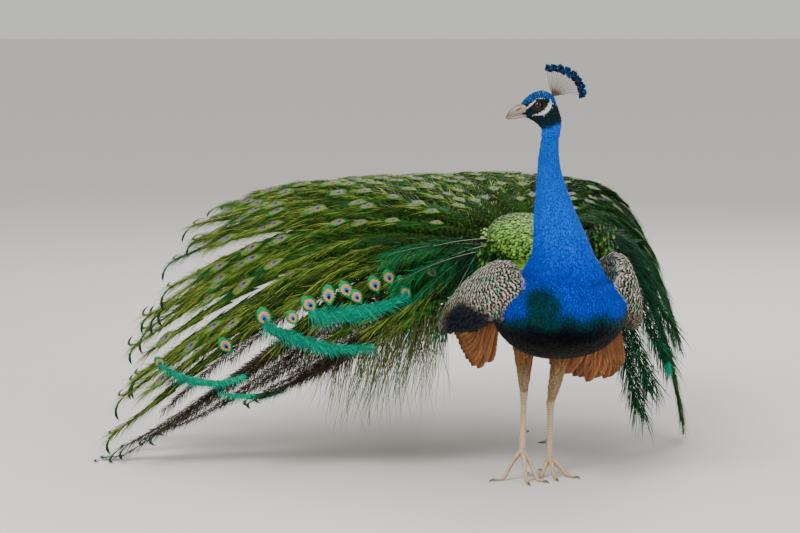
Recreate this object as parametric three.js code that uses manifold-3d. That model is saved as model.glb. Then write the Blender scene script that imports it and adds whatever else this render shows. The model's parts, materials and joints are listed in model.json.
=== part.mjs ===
// A life-size museum model of an Indian peacock that stands with its train half raised.
// Units are millimetres. +Z is up, the bird looks along -Y, and its own left side is towards +X.
import * as THREE from "three";
import { mergeVertices } from "three/addons/utils/BufferGeometryUtils.js";
import Module from "manifold-3d";

const wasm = await Module();
wasm.setup();

// ---------------------------------------------------------------------------------------------
// Driving dimensions. A station row is [position along the piece, values...] in millimetres.
// ---------------------------------------------------------------------------------------------
const GAP = 0.4; // clearance left between two pieces that touch
const BODY_YAW = 15; // degrees that the trunk is turned towards the bird's left

const TRUNK = {
  middle: [32, -40], // X and Y of the trunk's own axis at its middle
  upperPower: 1.6, // superellipse powers of the section above and below its widest line
  lowerPower: 2.2,
  sides: 20,
  // [ahead, height of the widest line, half width, height above it, depth below it]
  stations: [
    [-232, 424, 8, 8, 8],
    [-222, 422, 32, 24, 22],
    [-190, 414, 62, 44, 44],
    [-140, 398, 92, 58, 72],
    [-80, 380, 118, 76, 98],
    [-20, 368, 134, 88, 112],
    [40, 361, 141, 94, 114],
    [90, 358, 129, 88, 100],
    [125, 354, 100, 68, 78],
    [144, 350, 62, 44, 50],
    [152, 348, 14, 10, 12],
  ],
};

const NECK = {
  sides: 18,
  // [height, middle X, middle Y, half width, half depth]
  stations: [
    [384, 50, -84, 80, 66],
    [410, 49, -92, 88, 72],
    [443, 47, -98, 76, 70],
    [461, 46, -102, 66, 64],
    [494, 41, -105, 57, 54],
    [533, 32, -109, 48, 44],
    [586, 23, -117, 36, 34],
    [633, 17, -127, 27, 26.5],
    [665, 16, -134, 22.5, 22],
    [699.6, 18.5, -140, 19, 17],
  ],
};

const HEAD = {
  middleY: -140,
  sides: 16,
  // [height, face X, nape X, half thickness, how much the face narrows]
  stations: [
    [700, -0.4, 38, 17, 0],
    [710, 0.2, 39.2, 17, 0.02],
    [717, -3, 39.9, 17.4, 0.1],
    [725.5, -12, 40.2, 17.8, 0.3],
    [733, -25, 39.8, 18, 0.45],
    [738, -36, 38.6, 18, 0.52],
    [746, -39, 36, 18, 0.56],
    [755, -40, 33, 17.6, 0.56],
    [762, -40, 29.5, 16.8, 0.52],
    [768.5, -34.5, 27.6, 15.6, 0.42],
    [774.5, -28, 24.8, 13.4, 0.3],
    [779.5, -21, 20.5, 10.4, 0.2],
    [783.5, -13, 13, 6.6, 0.1],
    [786.2, -4, 3, 2, 0],
  ],
};

const EYE = { at: [-6, 758.5], radius: 8.2, bulge: 1.5 };

const BILL = {
  sides: 10,
  // [X, culmen height, tomium height, half thickness] from inside the face to the tip
  upper: [
    [-30, 762, 743.5, 8.5],
    [-40, 761, 741.5, 7.6],
    [-50, 757.5, 739.5, 6.2],
    [-58, 751.5, 737.6, 4.6],
    [-64, 744.5, 735.4, 3],
    [-69, 735.5, 731.6, 1],
  ],
  lower: [
    [-28, 742, 735.6, 6.6],
    [-40, 740.4, 733.6, 5.8],
    [-52, 738, 731.4, 4.2],
    [-60, 736, 730.4, 2.8],
    [-66, 733.4, 730.6, 1],
  ],
};

const CREST = {
  root: [25, -140, 774],
  feathers: 9,
  firstLean: -13, // degrees from upright, positive towards the nape
  lastLean: 91,
  length: 58,
  shaftRadius: 0.6,
  paddle: [6.6, 9, 2], // half width, half length and half thickness
  spread: 5, // sideways wave of the fan's tips
};

// Wing rows are [ahead, outward, height, half height, half thickness, inward lean in degrees].
const WING = {
  sides: 12,
  right: [
    [96, 92, 392, 10, 8, 20],
    [84, 108, 388, 40, 20, 24],
    [40, 130, 384, 74, 30, 30],
    [-20, 146, 376, 84, 30, 32],
    [-80, 162, 358, 76, 26, 32],
    [-130, 176, 334, 52, 18, 28],
    [-168, 186, 310, 22, 9, 20],
    [-180, 188, 302, 5, 3, 20],
  ],
  left: [
    [104, 98, 384, 10, 8, 10],
    [92, 116, 382, 42, 22, 12],
    [52, 138, 382, 76, 28, 14],
    [-10, 144, 380, 84, 28, 16],
    [-70, 142, 372, 74, 24, 17],
    [-130, 132, 364, 54, 17, 16],
    [-176, 122, 354, 26, 9, 14],
    [-192, 118, 348, 5, 3, 14],
  ],
};

// Quill fans: flat plates from a root to scalloped tips. first and last are the tips of the two
// outer quills, and the lengths run from one to the other.
const QUILL_PLATE = { thickness: 2.4, rootHalfWidth: 12, notch: 0.1 };
const QUILL_FANS = {
  secondaries_right: {
    root: [-86, -4, 380],
    first: [-120, 52, 292],
    last: [-188, 130, 306],
    lengths: [110, 132, 150, 162, 170],
  },
  primaries_right: {
    root: [-80, 6, 366],
    first: [-106, 66, 226],
    last: [-180, 122, 262],
    lengths: [160, 184, 192, 186, 176, 170],
  },
  secondaries_left: {
    root: [166, 0, 372],
    first: [166, 100, 296],
    last: [112, 178, 300],
    lengths: [126, 158, 178, 190, 196],
  },
  primaries_left: {
    root: [158, 6, 356],
    first: [176, 62, 222],
    last: [14, 202, 186],
    lengths: [150, 176, 198, 218, 236, 252, 266, 278],
  },
};

// The leg joints as [X, Y, Z]; the thigh is the feathered part above the hock.
const LEGS = {
  right: {
    hip: [-26, -6, 282],
    hock: [-22, 74, 163],
    heel: [-28, -4, 58],
    spur: { from: [-23, 22, 94], to: [-12, 40, 90] },
    // [tip X, tip Y, arch height] of the inner, middle and outer toe, then of the hind toe
    toes: [
      [14, -54, 30],
      [-19, -80, 32],
      [-84, -40, 30],
      [-16, 34, 22],
    ],
  },
  left: {
    hip: [58, 26, 282],
    hock: [33, 92, 139],
    heel: [29, 38, 34],
    spur: { from: [28, 62, 66], to: [7, 70, 61] },
    toes: [
      [4, -12, 15],
      [40, -34, 16],
      [78, -6, 15],
      [14, 70, 14],
    ],
  },
};
const LEG = {
  hipRadius: 25,
  hockRadius: 8.6,
  tarsusRadius: 6.2,
  anklePad: 8.6,
  toeRadius: 5.6,
  toeTipRadius: 3.2,
  toeRest: 2.6, // height of a resting toe's middle line above the floor
  clawLength: 15,
  clawRadius: 2.6,
  spurRadius: 4.2,
  sides: 10,
};

const FAN = {
  centre: [-9, 105],
  rootRadius: 66,
  rootHeight: 470,
  flankDrop: 30, // how much lower the outermost quills start
  middleBearing: 15,
  halfSweep: 70,
  thickness: 1,
  cover: 0.82, // part of the room between two quills that a blade fills
  // [bearing, reach, tip height, rise, fall]: the bearing turns from straight behind towards the
  // bird's right, and the rise and fall are the slopes in degrees at the two ends of a quill
  stations: [
    [-46, 480, 22, 46, -80],
    [-38, 570, 60, 42, -72],
    [-30, 720, 190, 34, -58],
    [-22, 860, 320, 28, -46],
    [-8, 980, 380, 23, -36],
    [10, 1060, 400, 21, -30],
    [28, 960, 480, 20, -18],
    [40, 935, 500, 20, -13],
    [50, 925, 490, 19, -12],
    [61, 930, 330, 14, -26],
    [71, 945, 110, 8, -34],
    [80, 945, -12, -1, -30],
    [90, 700, 112, -14, -12],
    [99, 480, 196, -24, -4],
  ],
};
const FEATHERS = { count: 26, from: -46, to: 99, halfWidth: 36, steps: 8, ridge: 1.4 };
const MANTLE = {
  from: -36,
  to: 86,
  reach: 0.5, // share of the train that the shorter feathers cover
  notch: 0.1, // share of that reach between two scallops of the edge
  lift: 8, // how far it lies above the long feathers
  thickness: 2,
  turns: 22,
  steps: 4,
};
const SADDLE = {
  middle: [-14, 92, 474],
  halfLength: 100,
  halfWidth: 88,
  halfHeight: 42,
  tilt: 22, // degrees that its rear end is raised
  steps: 6,
  sides: 14,
};
const TAIL = {
  root: [-20, 150, 440],
  from: -24,
  to: 50,
  length: 370,
  rise: 8,
  lengths: [320, 335, 350, 362, 370, 370, 362, 350, 335, 320],
};

// ---------------------------------------------------------------------------------------------
// Materials
// ---------------------------------------------------------------------------------------------
const finish = (color, roughness) => new THREE.MeshStandardMaterial({ color, roughness, metalness: 0 });
const MATERIALS = {
  trunk: () => finish(0x0b2a3a, 0.6),
  blue: () => finish(0x0a3fb0, 0.5),
  face: () => finish(0x0c3a52, 0.6),
  horn: () => finish(0xb9aa9a, 0.45),
  eye: () => finish(0x1a0f08, 0.1),
  crest: () => finish(0x0b3f5c, 0.5),
  barred: () => finish(0xb8a98c, 0.7),
  navy: () => finish(0x0c1420, 0.5),
  rufous: () => finish(0xa65a25, 0.7),
  thigh: () => finish(0x8a7050, 0.8),
  leg: () => finish(0xc9a98c, 0.6),
  claw: () => finish(0x4a4038, 0.4),
  green: () => finish(0x3f7a28, 0.5),
  train: () => finish(0x1f6a3c, 0.5),
  tail: () => finish(0x6b4a2c, 0.8),
};

// ---------------------------------------------------------------------------------------------
// Shape tools
// ---------------------------------------------------------------------------------------------
const UP = new THREE.Vector3(0, 0, 1);
const vec = (x, y, z) => new THREE.Vector3(x, y, z);
const rad = THREE.MathUtils.degToRad;

/** A smooth reader of station rows: position in, the row's other values out. */
function readStations(rows) {
  const positions = rows.map((row) => row[0]);
  const values = rows.flatMap((row) => row.slice(1));
  const curve = new THREE.CubicInterpolant(positions, values, rows[0].length - 1);
  return (position) => Array.from(curve.evaluate(position));
}

/** The positions of the stations, each span cut into equal parts. */
function stationSteps(rows, partsPerSpan) {
  const steps = [rows[0][0]];
  for (let i = 1; i < rows.length; i++)
    for (let part = 1; part <= partsPerSpan; part++)
      steps.push(THREE.MathUtils.lerp(rows[i - 1][0], rows[i][0], part / partsPerSpan));
  return steps;
}

/** A closed geometry over rings of equally many points, with a fan over each end. */
function skinOver(rings) {
  const sides = rings[0].length;
  const points = rings.flat();
  const middle = (ring) => ring.reduce((sum, p) => sum.add(p), vec(0, 0, 0)).divideScalar(sides);
  points.push(middle(rings[0]), middle(rings.at(-1)));
  const index = [];
  for (let i = 0; i + 1 < rings.length; i++)
    for (let j = 0; j < sides; j++) {
      const [a, b] = [i * sides + j, i * sides + ((j + 1) % sides)];
      index.push(a, b, b + sides, a, b + sides, a + sides);
    }
  const last = (rings.length - 1) * sides;
  for (let j = 0; j < sides; j++) {
    const next = (j + 1) % sides;
    index.push(points.length - 2, next, j);
    index.push(points.length - 1, last + j, last + next);
  }
  const geometry = new THREE.BufferGeometry().setFromPoints(points).setIndex(index);
  return facingOut(geometry);
}

/** The geometry with its triangles turned so that its volume is positive. */
function facingOut(geometry) {
  const at = geometry.attributes.position;
  const index = geometry.index.array;
  const [a, b, c] = [vec(), vec(), vec()];
  let volume = 0;
  for (let i = 0; i < index.length; i += 3) {
    a.fromBufferAttribute(at, index[i]);
    b.fromBufferAttribute(at, index[i + 1]);
    c.fromBufferAttribute(at, index[i + 2]);
    volume += a.dot(b.cross(c));
  }
  if (volume < 0) index.reverse();
  return geometry;
}

/** One ring of a superellipse round a middle, with its own height above and below. */
function ring(middle, across, above, below, sides, upperPower = 2, lowerPower = 2) {
  return Array.from({ length: sides }, (_, j) => {
    const angle = (2 * Math.PI * j) / sides;
    const [c, s] = [Math.cos(angle), Math.sin(angle)];
    const power = 2 / (s > 0 ? upperPower : lowerPower);
    const x = Math.sign(c) * Math.abs(c) ** power;
    const y = Math.abs(s) ** power;
    return middle.clone().addScaledVector(across, x).addScaledVector(s > 0 ? above : below, y);
  });
}

/** A round limb along a path: radiusAt gives [half width, half depth] at 0 to 1 along it. */
function limb(path, radiusAt, steps, sides) {
  const rings = [];
  for (let i = 0; i <= steps; i++) {
    const t = i / steps;
    const along = path.getTangentAt(t);
    const across = vec(1, 0, 0).addScaledVector(along, -along.x).normalize();
    const over = along.clone().cross(across);
    const [width, depth] = radiusAt(t);
    const above = over.clone().multiplyScalar(depth);
    rings.push(ring(path.getPointAt(t), across.multiplyScalar(width), above, above.clone().negate(), sides));
  }
  return skinOver(rings);
}

/** A feather blade along points: a flat strip, with a quill along it where the ridge is over 0. */
function blade(points, across, normals, thickness, ridge) {
  return skinOver(
    points.map((p, i) => {
      const up = normals[i].clone().multiplyScalar(thickness / 2);
      const [right, left] = [p.clone().add(across[i]), p.clone().sub(across[i])];
      const crown = ridge > 0 ? [p.clone().addScaledVector(normals[i], thickness / 2 + ridge)] : [];
      return [right.clone().add(up), ...crown, left.clone().add(up), left.sub(up), right.sub(up)];
    }),
  );
}

/** A closed sheet between two faces, each of rows of equally many points. */
function sheet(over, under) {
  const across = over[0].length;
  const lower = over.length * across;
  const index = [];
  const quad = (a, b, c, d) => index.push(a, b, c, a, c, d);
  const wall = (a, b) => quad(b, a, lower + a, lower + b);
  for (let i = 0; i + 1 < over.length; i++)
    for (let j = 0; j + 1 < across; j++) {
      const [a, b] = [i * across + j, i * across + j + 1];
      const [d, c] = [a + across, b + across];
      quad(a, b, c, d);
      quad(lower + a, lower + d, lower + c, lower + b);
      if (i === 0) wall(a, b);
      if (i + 2 === over.length) wall(c, d);
      if (j === 0) wall(d, a);
      if (j + 2 === across) wall(b, c);
    }
  const geometry = new THREE.BufferGeometry().setFromPoints([...over.flat(), ...under.flat()]);
  return facingOut(geometry.setIndex(index));
}

/** A flat fan of quills with rounded tips, cut from one plate between its first and last quill. */
function quillPlate({ root, first, last, lengths }) {
  const start = vec(...root);
  const along = vec(...first).sub(start).normalize();
  const towardsLast = vec(...last).sub(start).normalize();
  const sweep = along.angleTo(towardsLast);
  const normal = along.clone().cross(towardsLast).normalize();
  const across = normal.clone().cross(along);
  const { thickness, rootHalfWidth, notch } = QUILL_PLATE;
  const half = sweep / (lengths.length - 1) / 2;
  const outline = [new THREE.Vector2(0, rootHalfWidth), new THREE.Vector2(0, -rootHalfWidth)];
  lengths.forEach((length, i) => {
    for (const turn of [-1, -0.5, 0, 0.5, 1]) {
      const angle = (2 * i + turn * 0.98) * half;
      const radius = length * (1 - notch * turn ** 2);
      outline.push(new THREE.Vector2(radius * Math.cos(angle), radius * Math.sin(angle)));
    }
  });
  const plate = new THREE.ExtrudeGeometry(new THREE.Shape(outline), {
    depth: thickness,
    bevelEnabled: false,
  });
  plate.applyMatrix4(new THREE.Matrix4().makeBasis(along, across, normal).setPosition(start));
  return solid(plate);
}

// ---------------------------------------------------------------------------------------------
// Solids: joining, cutting and placing
// ---------------------------------------------------------------------------------------------
/** A closed geometry as a solid. */
function solid(geometry) {
  const bare = geometry.clone();
  bare.deleteAttribute("normal");
  bare.deleteAttribute("uv");
  const merged = mergeVertices(bare, 1e-4);
  const vertProperties = merged.attributes.position.array;
  const triVerts = new Uint32Array(merged.index.array);
  return new wasm.Manifold(new wasm.Mesh({ numProp: 3, vertProperties, triVerts }));
}

/** A solid's surface as a geometry. */
function surface(body) {
  const mesh = body.getMesh();
  return new THREE.BufferGeometry()
    .setAttribute("position", new THREE.BufferAttribute(new Float32Array(mesh.vertProperties), 3))
    .setIndex(new THREE.BufferAttribute(new Uint32Array(mesh.triVerts), 1));
}

/** A solid with its surface moved out by the clearance, and never in. */
function grown(body) {
  const geometry = surface(body);
  geometry.computeVertexNormals();
  const { position, normal } = geometry.attributes;
  for (let i = 0; i < position.count; i++) {
    const p = vec().fromBufferAttribute(position, i);
    p.addScaledVector(vec().fromBufferAttribute(normal, i), GAP);
    position.setXYZ(i, p.x, p.y, p.z);
  }
  return solid(geometry).add(body);
}

const joined = (bodies) => bodies.reduce((sum, body) => sum.add(body));
const mainBody = (body) =>
  body.decompose().reduce((best, part) => (part.volume() > best.volume() ? part : best));

const bird = new THREE.Group();
const placed = new Map();

/** Cuts a solid clear of its placed neighbours and adds it to the bird as a named mesh. */
function place(name, material, body, neighbours = []) {
  const clear = neighbours.reduce((left, other) => left.subtract(grown(placed.get(other))), body);
  const kept = mainBody(clear);
  placed.set(name, kept);
  const mesh = new THREE.Mesh(surface(kept), MATERIALS[material]());
  mesh.name = name;
  bird.add(mesh);
}

/** Everything below the floor, so that what stands on it gets small flats. */
function belowFloor() {
  const ground = new THREE.BoxGeometry(4000, 4000, 100);
  ground.translate(0, 0, -50);
  return solid(ground);
}
const floor = belowFloor();

// ---------------------------------------------------------------------------------------------
// Trunk, neck and head
// ---------------------------------------------------------------------------------------------
const heading = vec(Math.sin(rad(BODY_YAW)), -Math.cos(rad(BODY_YAW)), 0);
const leftward = vec(Math.cos(rad(BODY_YAW)), Math.sin(rad(BODY_YAW)), 0);

/** A point given by its distance ahead of the trunk's middle, to its left, and above the floor. */
function onBody(ahead, left, height) {
  const [x, y] = TRUNK.middle;
  return vec(x, y, height).addScaledVector(heading, ahead).addScaledVector(leftward, left);
}

function trunk() {
  const read = readStations(TRUNK.stations);
  const rings = stationSteps(TRUNK.stations, 1).map((ahead) => {
    const [height, halfWidth, above, below] = read(ahead);
    const across = leftward.clone().multiplyScalar(halfWidth);
    const [rise, drop] = [vec(0, 0, above), vec(0, 0, -below)];
    const middle = onBody(ahead, 0, height);
    return ring(middle, across, rise, drop, TRUNK.sides, TRUNK.upperPower, TRUNK.lowerPower);
  });
  return solid(skinOver(rings));
}

function neck() {
  const rings = NECK.stations.map(([height, x, y, halfWidth, halfDepth]) => {
    const back = vec(0, halfDepth, 0);
    return ring(vec(x, y, height), vec(halfWidth, 0, 0), back, back.clone().negate(), NECK.sides);
  });
  return solid(skinOver(rings));
}

/** The head, as level rings that narrow towards the face. */
function head() {
  const rings = HEAD.stations.map(([height, faceX, napeX, halfThickness, narrowing]) =>
    Array.from({ length: HEAD.sides }, (_, j) => {
      const angle = (2 * Math.PI * j) / HEAD.sides;
      const x = THREE.MathUtils.lerp(faceX, napeX, (1 + Math.cos(angle)) / 2);
      const towardsFace = Math.max(0, -Math.cos(angle));
      const y = halfThickness * Math.sin(angle) * (1 - narrowing * towardsFace);
      return vec(x, HEAD.middleY + y, height);
    }),
  );
  return solid(skinOver(rings));
}

/** Half the head's thickness at the eye, from the head's own rings. */
function faceThicknessAt(x, height) {
  const read = readStations(HEAD.stations);
  const [faceX, napeX, halfThickness, narrowing] = read(height);
  const cosine = (2 * (x - faceX)) / (napeX - faceX) - 1;
  return halfThickness * Math.sqrt(1 - cosine ** 2) * (1 - narrowing * Math.max(0, -cosine));
}

/** An eyeball; side is -1 on the side that faces -Y and 1 on the other. */
function eye(side) {
  const [x, z] = EYE.at;
  const ball = new THREE.SphereGeometry(EYE.radius, 10, 8);
  const depth = faceThicknessAt(x, z) + EYE.bulge - EYE.radius;
  ball.translate(x, HEAD.middleY + side * depth, z);
  return solid(ball);
}

/** One half of the bill, as upright rings from the face to the tip. */
function mandible(stations) {
  const rings = stations.map(([x, top, bottom, halfThickness]) => {
    const half = vec(0, 0, (top - bottom) / 2);
    const middle = vec(x, HEAD.middleY, (top + bottom) / 2);
    return ring(middle, vec(0, halfThickness, 0), half, half.clone().negate(), BILL.sides, 1.7, 3);
  });
  return solid(skinOver(rings));
}

/** The crest: thin bare shafts in a fan, each ending in a flat paddle that meets the next. */
function crest() {
  const root = vec(...CREST.root);
  const bodies = [];
  for (let i = 0; i < CREST.feathers; i++) {
    const share = i / (CREST.feathers - 1);
    const lean = rad(THREE.MathUtils.lerp(CREST.firstLean, CREST.lastLean, share));
    const sway = CREST.spread * Math.sin(i * 2.4);
    const out = vec(Math.sin(lean), sway / CREST.length, Math.cos(lean)).normalize();
    const [halfWidth, halfLength, halfThickness] = CREST.paddle;
    const tip = root.clone().addScaledVector(out, CREST.length - halfLength);
    const turn = new THREE.Quaternion().setFromUnitVectors(UP, out);
    const shaft = new THREE.CylinderGeometry(CREST.shaftRadius, CREST.shaftRadius * 1.6, 1, 4);
    shaft.rotateX(Math.PI / 2).scale(1, 1, root.distanceTo(tip)).applyQuaternion(turn);
    shaft.translate(...root.clone().lerp(tip, 0.5));
    const paddle = new THREE.IcosahedronGeometry(1);
    paddle.scale(halfWidth, halfThickness, halfLength).applyQuaternion(turn).translate(...tip);
    bodies.push(solid(shaft), solid(paddle));
  }
  const knob = new THREE.SphereGeometry(4.2, 6, 5).translate(...root);
  return joined([...bodies, solid(knob)]);
}

place("trunk", "trunk", trunk());
place("neck", "blue", neck(), ["trunk"]);
place("eye_right", "eye", eye(1));
place("eye_left", "eye", eye(-1));
place("head", "face", head(), ["eye_right", "eye_left"]);
place("bill_upper", "horn", mandible(BILL.upper), ["head"]);
place("bill_lower", "horn", mandible(BILL.lower), ["head", "bill_upper"]);
place("crest", "crest", crest(), ["head"]);

// ---------------------------------------------------------------------------------------------
// Wings
// ---------------------------------------------------------------------------------------------
/** The shoulder and coverts of a wing; side is 1 for the bird's left and -1 for its right. */
function wing(stations, side) {
  const rings = stations.map(([ahead, outward, height, halfHeight, halfThickness, lean]) => {
    const inward = rad(lean);
    const over = leftward.clone().multiplyScalar(-side * Math.sin(inward) * halfHeight);
    over.z = Math.cos(inward) * halfHeight;
    const across = leftward.clone().multiplyScalar(side * Math.cos(inward) * halfThickness);
    across.z = Math.sin(inward) * halfThickness;
    const middle = onBody(ahead, side * outward, height);
    return ring(middle, across, over, over.clone().negate(), WING.sides);
  });
  return solid(skinOver(rings));
}

place("wing_right", "barred", wing(WING.right, -1), ["trunk", "neck"]);
place("wing_left", "barred", wing(WING.left, 1), ["trunk", "neck"]);

// ---------------------------------------------------------------------------------------------
// Legs
// ---------------------------------------------------------------------------------------------
function thigh({ hip, hock }) {
  const path = new THREE.LineCurve3(vec(...hip), vec(...hock));
  const { hipRadius, hockRadius } = LEG;
  const radiusAt = (t) => {
    const r = hockRadius + (hipRadius - hockRadius) * (1 - t) ** 0.8;
    return [r, r * 1.25];
  };
  return solid(limb(path, radiusAt, 4, LEG.sides));
}

function tarsus({ hock, heel }) {
  const path = new THREE.LineCurve3(vec(...hock).add(vec(0, 0, -2)), vec(...heel));
  const radiusAt = (t) => {
    const knob = LEG.hockRadius - LEG.tarsusRadius;
    const r = LEG.tarsusRadius + knob * Math.exp(-((t / 0.16) ** 2)) + 1.6 * t ** 6;
    return [r, r * 1.2];
  };
  return solid(limb(path, radiusAt, 6, LEG.sides));
}

/** One toe's middle line, arched from the foot's joint down to its resting tip. */
function toePath(heel, [x, y, arch]) {
  const start = vec(...heel);
  const tip = vec(x, y, LEG.toeRest);
  const knuckle = start.clone().lerp(tip, 0.34);
  knuckle.z = arch + 8;
  const pad = start.clone().lerp(tip, 0.68);
  pad.z = LEG.toeRest + 3;
  return new THREE.CatmullRomCurve3([start, knuckle, pad, tip]);
}

/** A foot: four toes that join in a pad under the tarsus, trimmed to flats on the floor. */
function foot({ heel, toes }) {
  const toeBodies = toes.map((toe, i) => {
    const slimmer = i === 3 ? 0.78 : 1;
    const radiusAt = (t) => {
      const knuckles = 1 + 0.07 * Math.cos(t * Math.PI * 6);
      const r = slimmer * knuckles * THREE.MathUtils.lerp(LEG.toeRadius, LEG.toeTipRadius, t);
      return [r, r];
    };
    return solid(limb(toePath(heel, toe), radiusAt, 4, 6));
  });
  const pad = new THREE.SphereGeometry(LEG.anklePad, 8, 6).translate(...heel);
  return joined([...toeBodies, solid(pad)]).subtract(floor);
}

/** A claw, a curved horn that goes on from its toe. */
function claw(heel, toe) {
  const path = toePath(heel, toe);
  const tip = path.getPointAt(1);
  const along = path.getTangentAt(1).setZ(0).normalize();
  const curve = new THREE.QuadraticBezierCurve3(
    tip.clone().addScaledVector(along, -1).setZ(LEG.toeRest + 0.6),
    tip.clone().addScaledVector(along, LEG.clawLength * 0.6).setZ(LEG.toeRest + 3),
    tip.clone().addScaledVector(along, LEG.clawLength).setZ(0.7),
  );
  const radiusAt = (t) => [LEG.clawRadius * (1 - 0.8 * t), LEG.clawRadius * (1 - 0.76 * t)];
  return solid(limb(curve, radiusAt, 3, 5)).subtract(floor);
}

function spur({ from, to }) {
  const path = new THREE.LineCurve3(vec(...from), vec(...to));
  return solid(limb(path, (t) => [LEG.spurRadius * (1 - 0.8 * t), LEG.spurRadius * (1 - 0.8 * t)], 2, 6));
}

const TOES = ["inner", "middle", "outer", "hind"];
for (const [side, leg] of Object.entries(LEGS)) {
  place(`thigh_${side}`, "thigh", thigh(leg), ["trunk"]);
  place(`tarsus_${side}`, "leg", tarsus(leg), [`thigh_${side}`]);
  place(`spur_${side}`, "claw", spur(leg.spur), [`tarsus_${side}`]);
  place(`foot_${side}`, "leg", foot(leg), [`tarsus_${side}`]);
  TOES.forEach((toe, i) => {
    place(`claw_${side}_${toe}`, "claw", claw(leg.heel, leg.toes[i]), [`foot_${side}`]);
  });
}
for (const side of ["right", "left"]) {
  const [secondaries, primaries] = [`secondaries_${side}`, `primaries_${side}`];
  const body = ["trunk", `wing_${side}`, `thigh_${side}`];
  place(secondaries, "navy", quillPlate(QUILL_FANS[secondaries]), body);
  place(primaries, "rufous", quillPlate(QUILL_FANS[primaries]), [...body, secondaries]);
}

// ---------------------------------------------------------------------------------------------
// Train and tail
// ---------------------------------------------------------------------------------------------
const readFan = readStations(FAN.stations);
const BEARING_STEP = 0.5; // degrees to each side at which the train's slope is read

/** The level direction of a bearing, turned from straight behind (+Y) towards -X. */
const outwards = (bearing) => vec(-Math.sin(rad(bearing)), Math.cos(rad(bearing)), 0);

/** The curve of the train's surface at a bearing, from the rump to the longest tip. */
function fanCurve(bearing) {
  const [reach, tipHeight, rise, fall] = readFan(bearing);
  const out = outwards(bearing);
  const flank = (bearing - FAN.middleBearing) / FAN.halfSweep;
  const centre = vec(...FAN.centre, 0);
  const start = centre.clone().addScaledVector(out, FAN.rootRadius);
  start.z = FAN.rootHeight - FAN.flankDrop * flank ** 2;
  const end = centre.clone().addScaledVector(out, reach).setZ(tipHeight);
  const pull = 0.38 * start.distanceTo(end);
  const slope = (angle) => out.clone().multiplyScalar(Math.cos(rad(angle))).setZ(Math.sin(rad(angle)));
  return new THREE.CubicBezierCurve3(
    start,
    start.clone().addScaledVector(slope(rise), pull),
    end.clone().addScaledVector(slope(fall), -pull),
    end,
  );
}

/** A place on the train's surface: its point, the way across it and the way out of it. */
function fanPlace(bearing, t) {
  const [here, before, after] = [0, -BEARING_STEP, BEARING_STEP].map((turn) => fanCurve(bearing + turn));
  const turned = after.getPoint(t).sub(before.getPoint(t)).divideScalar(2 * BEARING_STEP);
  const side = turned.clone().normalize();
  const normal = here.getTangent(t).cross(side).normalize();
  if (normal.z < 0) normal.negate();
  return { point: here.getPoint(t), side, normal, spread: turned.length() };
}

/** A long train feather at a bearing, whose blade fills its share of the fan. */
function trainFeather(bearing, spacing) {
  const { halfWidth, steps, ridge } = FEATHERS;
  const [points, across, normals] = [[], [], []];
  for (let i = 0; i <= steps; i++) {
    const share = i / steps;
    const { point, side, normal, spread } = fanPlace(bearing, Math.min(share, 0.999));
    const room = (FAN.cover * spread * spacing) / 2;
    const fullness = Math.min(1, 0.35 + share);
    const roundTip = Math.sqrt(Math.max(0, 1 - Math.max(0, (share - 0.8) / 0.2) ** 2));
    const width = Math.min(room, halfWidth * fullness) * Math.max(0.22, roundTip);
    point.z = Math.max(point.z, FAN.thickness / 2 + Math.abs(side.z) * width);
    points.push(point);
    across.push(side.multiplyScalar(width));
    normals.push(normal);
  }
  return solid(blade(points, across, normals, FAN.thickness, ridge)).subtract(floor);
}

/** The long feathers, from the bird's left round to its right. */
function longFeathers() {
  const spacing = (FEATHERS.to - FEATHERS.from) / (FEATHERS.count - 1);
  return Array.from({ length: FEATHERS.count }, (_, i) =>
    trainFeather(FEATHERS.from + i * spacing, spacing),
  );
}

/** The layer of shorter feathers over the roots of the long ones, with a scalloped edge. */
function mantle() {
  const { from, to, reach, notch, lift, thickness, turns, steps } = MANTLE;
  const places = Array.from({ length: turns + 1 }, (_, i) => {
    const bearing = THREE.MathUtils.lerp(from, to, i / turns);
    const edge = reach * (i % 2 ? 1 : 1 - notch);
    return Array.from({ length: steps + 1 }, (_, j) => fanPlace(bearing, (edge * j) / steps));
  });
  const side = (height) =>
    places.map((row) => row.map(({ point, normal }) => point.clone().addScaledVector(normal, height)));
  return solid(sheet(side(lift + thickness), side(lift)));
}

/** The raised hump of small back feathers that the train grows from. */
function saddle() {
  const back = outwards(FAN.middleBearing);
  const along = back.clone().multiplyScalar(Math.cos(rad(SADDLE.tilt))).setZ(Math.sin(rad(SADDLE.tilt)));
  const side = back.clone().cross(UP).normalize();
  const over = side.clone().cross(along);
  const rings = [];
  for (let i = 0; i <= SADDLE.steps; i++) {
    const angle = Math.PI * THREE.MathUtils.lerp(0.04, 0.96, i / SADDLE.steps);
    const middle = vec(...SADDLE.middle).addScaledVector(along, -SADDLE.halfLength * Math.cos(angle));
    const across = side.clone().multiplyScalar(SADDLE.halfWidth * Math.sin(angle));
    const above = over.clone().multiplyScalar(SADDLE.halfHeight * Math.sin(angle));
    rings.push(ring(middle, across, above, above.clone().negate(), SADDLE.sides));
  }
  return solid(skinOver(rings));
}

/** The stiff tail under the train, its quills spread from one bearing to the other. */
function tail() {
  const { root, from, to, length, rise, lengths } = TAIL;
  const tipAt = (bearing) => {
    const out = outwards(bearing).multiplyScalar(Math.cos(rad(rise))).setZ(Math.sin(rad(rise)));
    return vec(...root).addScaledVector(out, length).toArray();
  };
  return quillPlate({ root, first: tipAt(from), last: tipAt(to), lengths });
}

const body = ["trunk", "wing_right", "wing_left", "neck"];
place("train_base", "green", joined([saddle(), mantle()]), body);
place("tail", "tail", tail(), [...body, "train_base"]);
longFeathers().forEach((feather, i) => {
  const name = `train_feather_${String(i + 1).padStart(2, "0")}`;
  place(name, "train", feather, [...body, "train_base", "tail"]);
});

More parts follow.
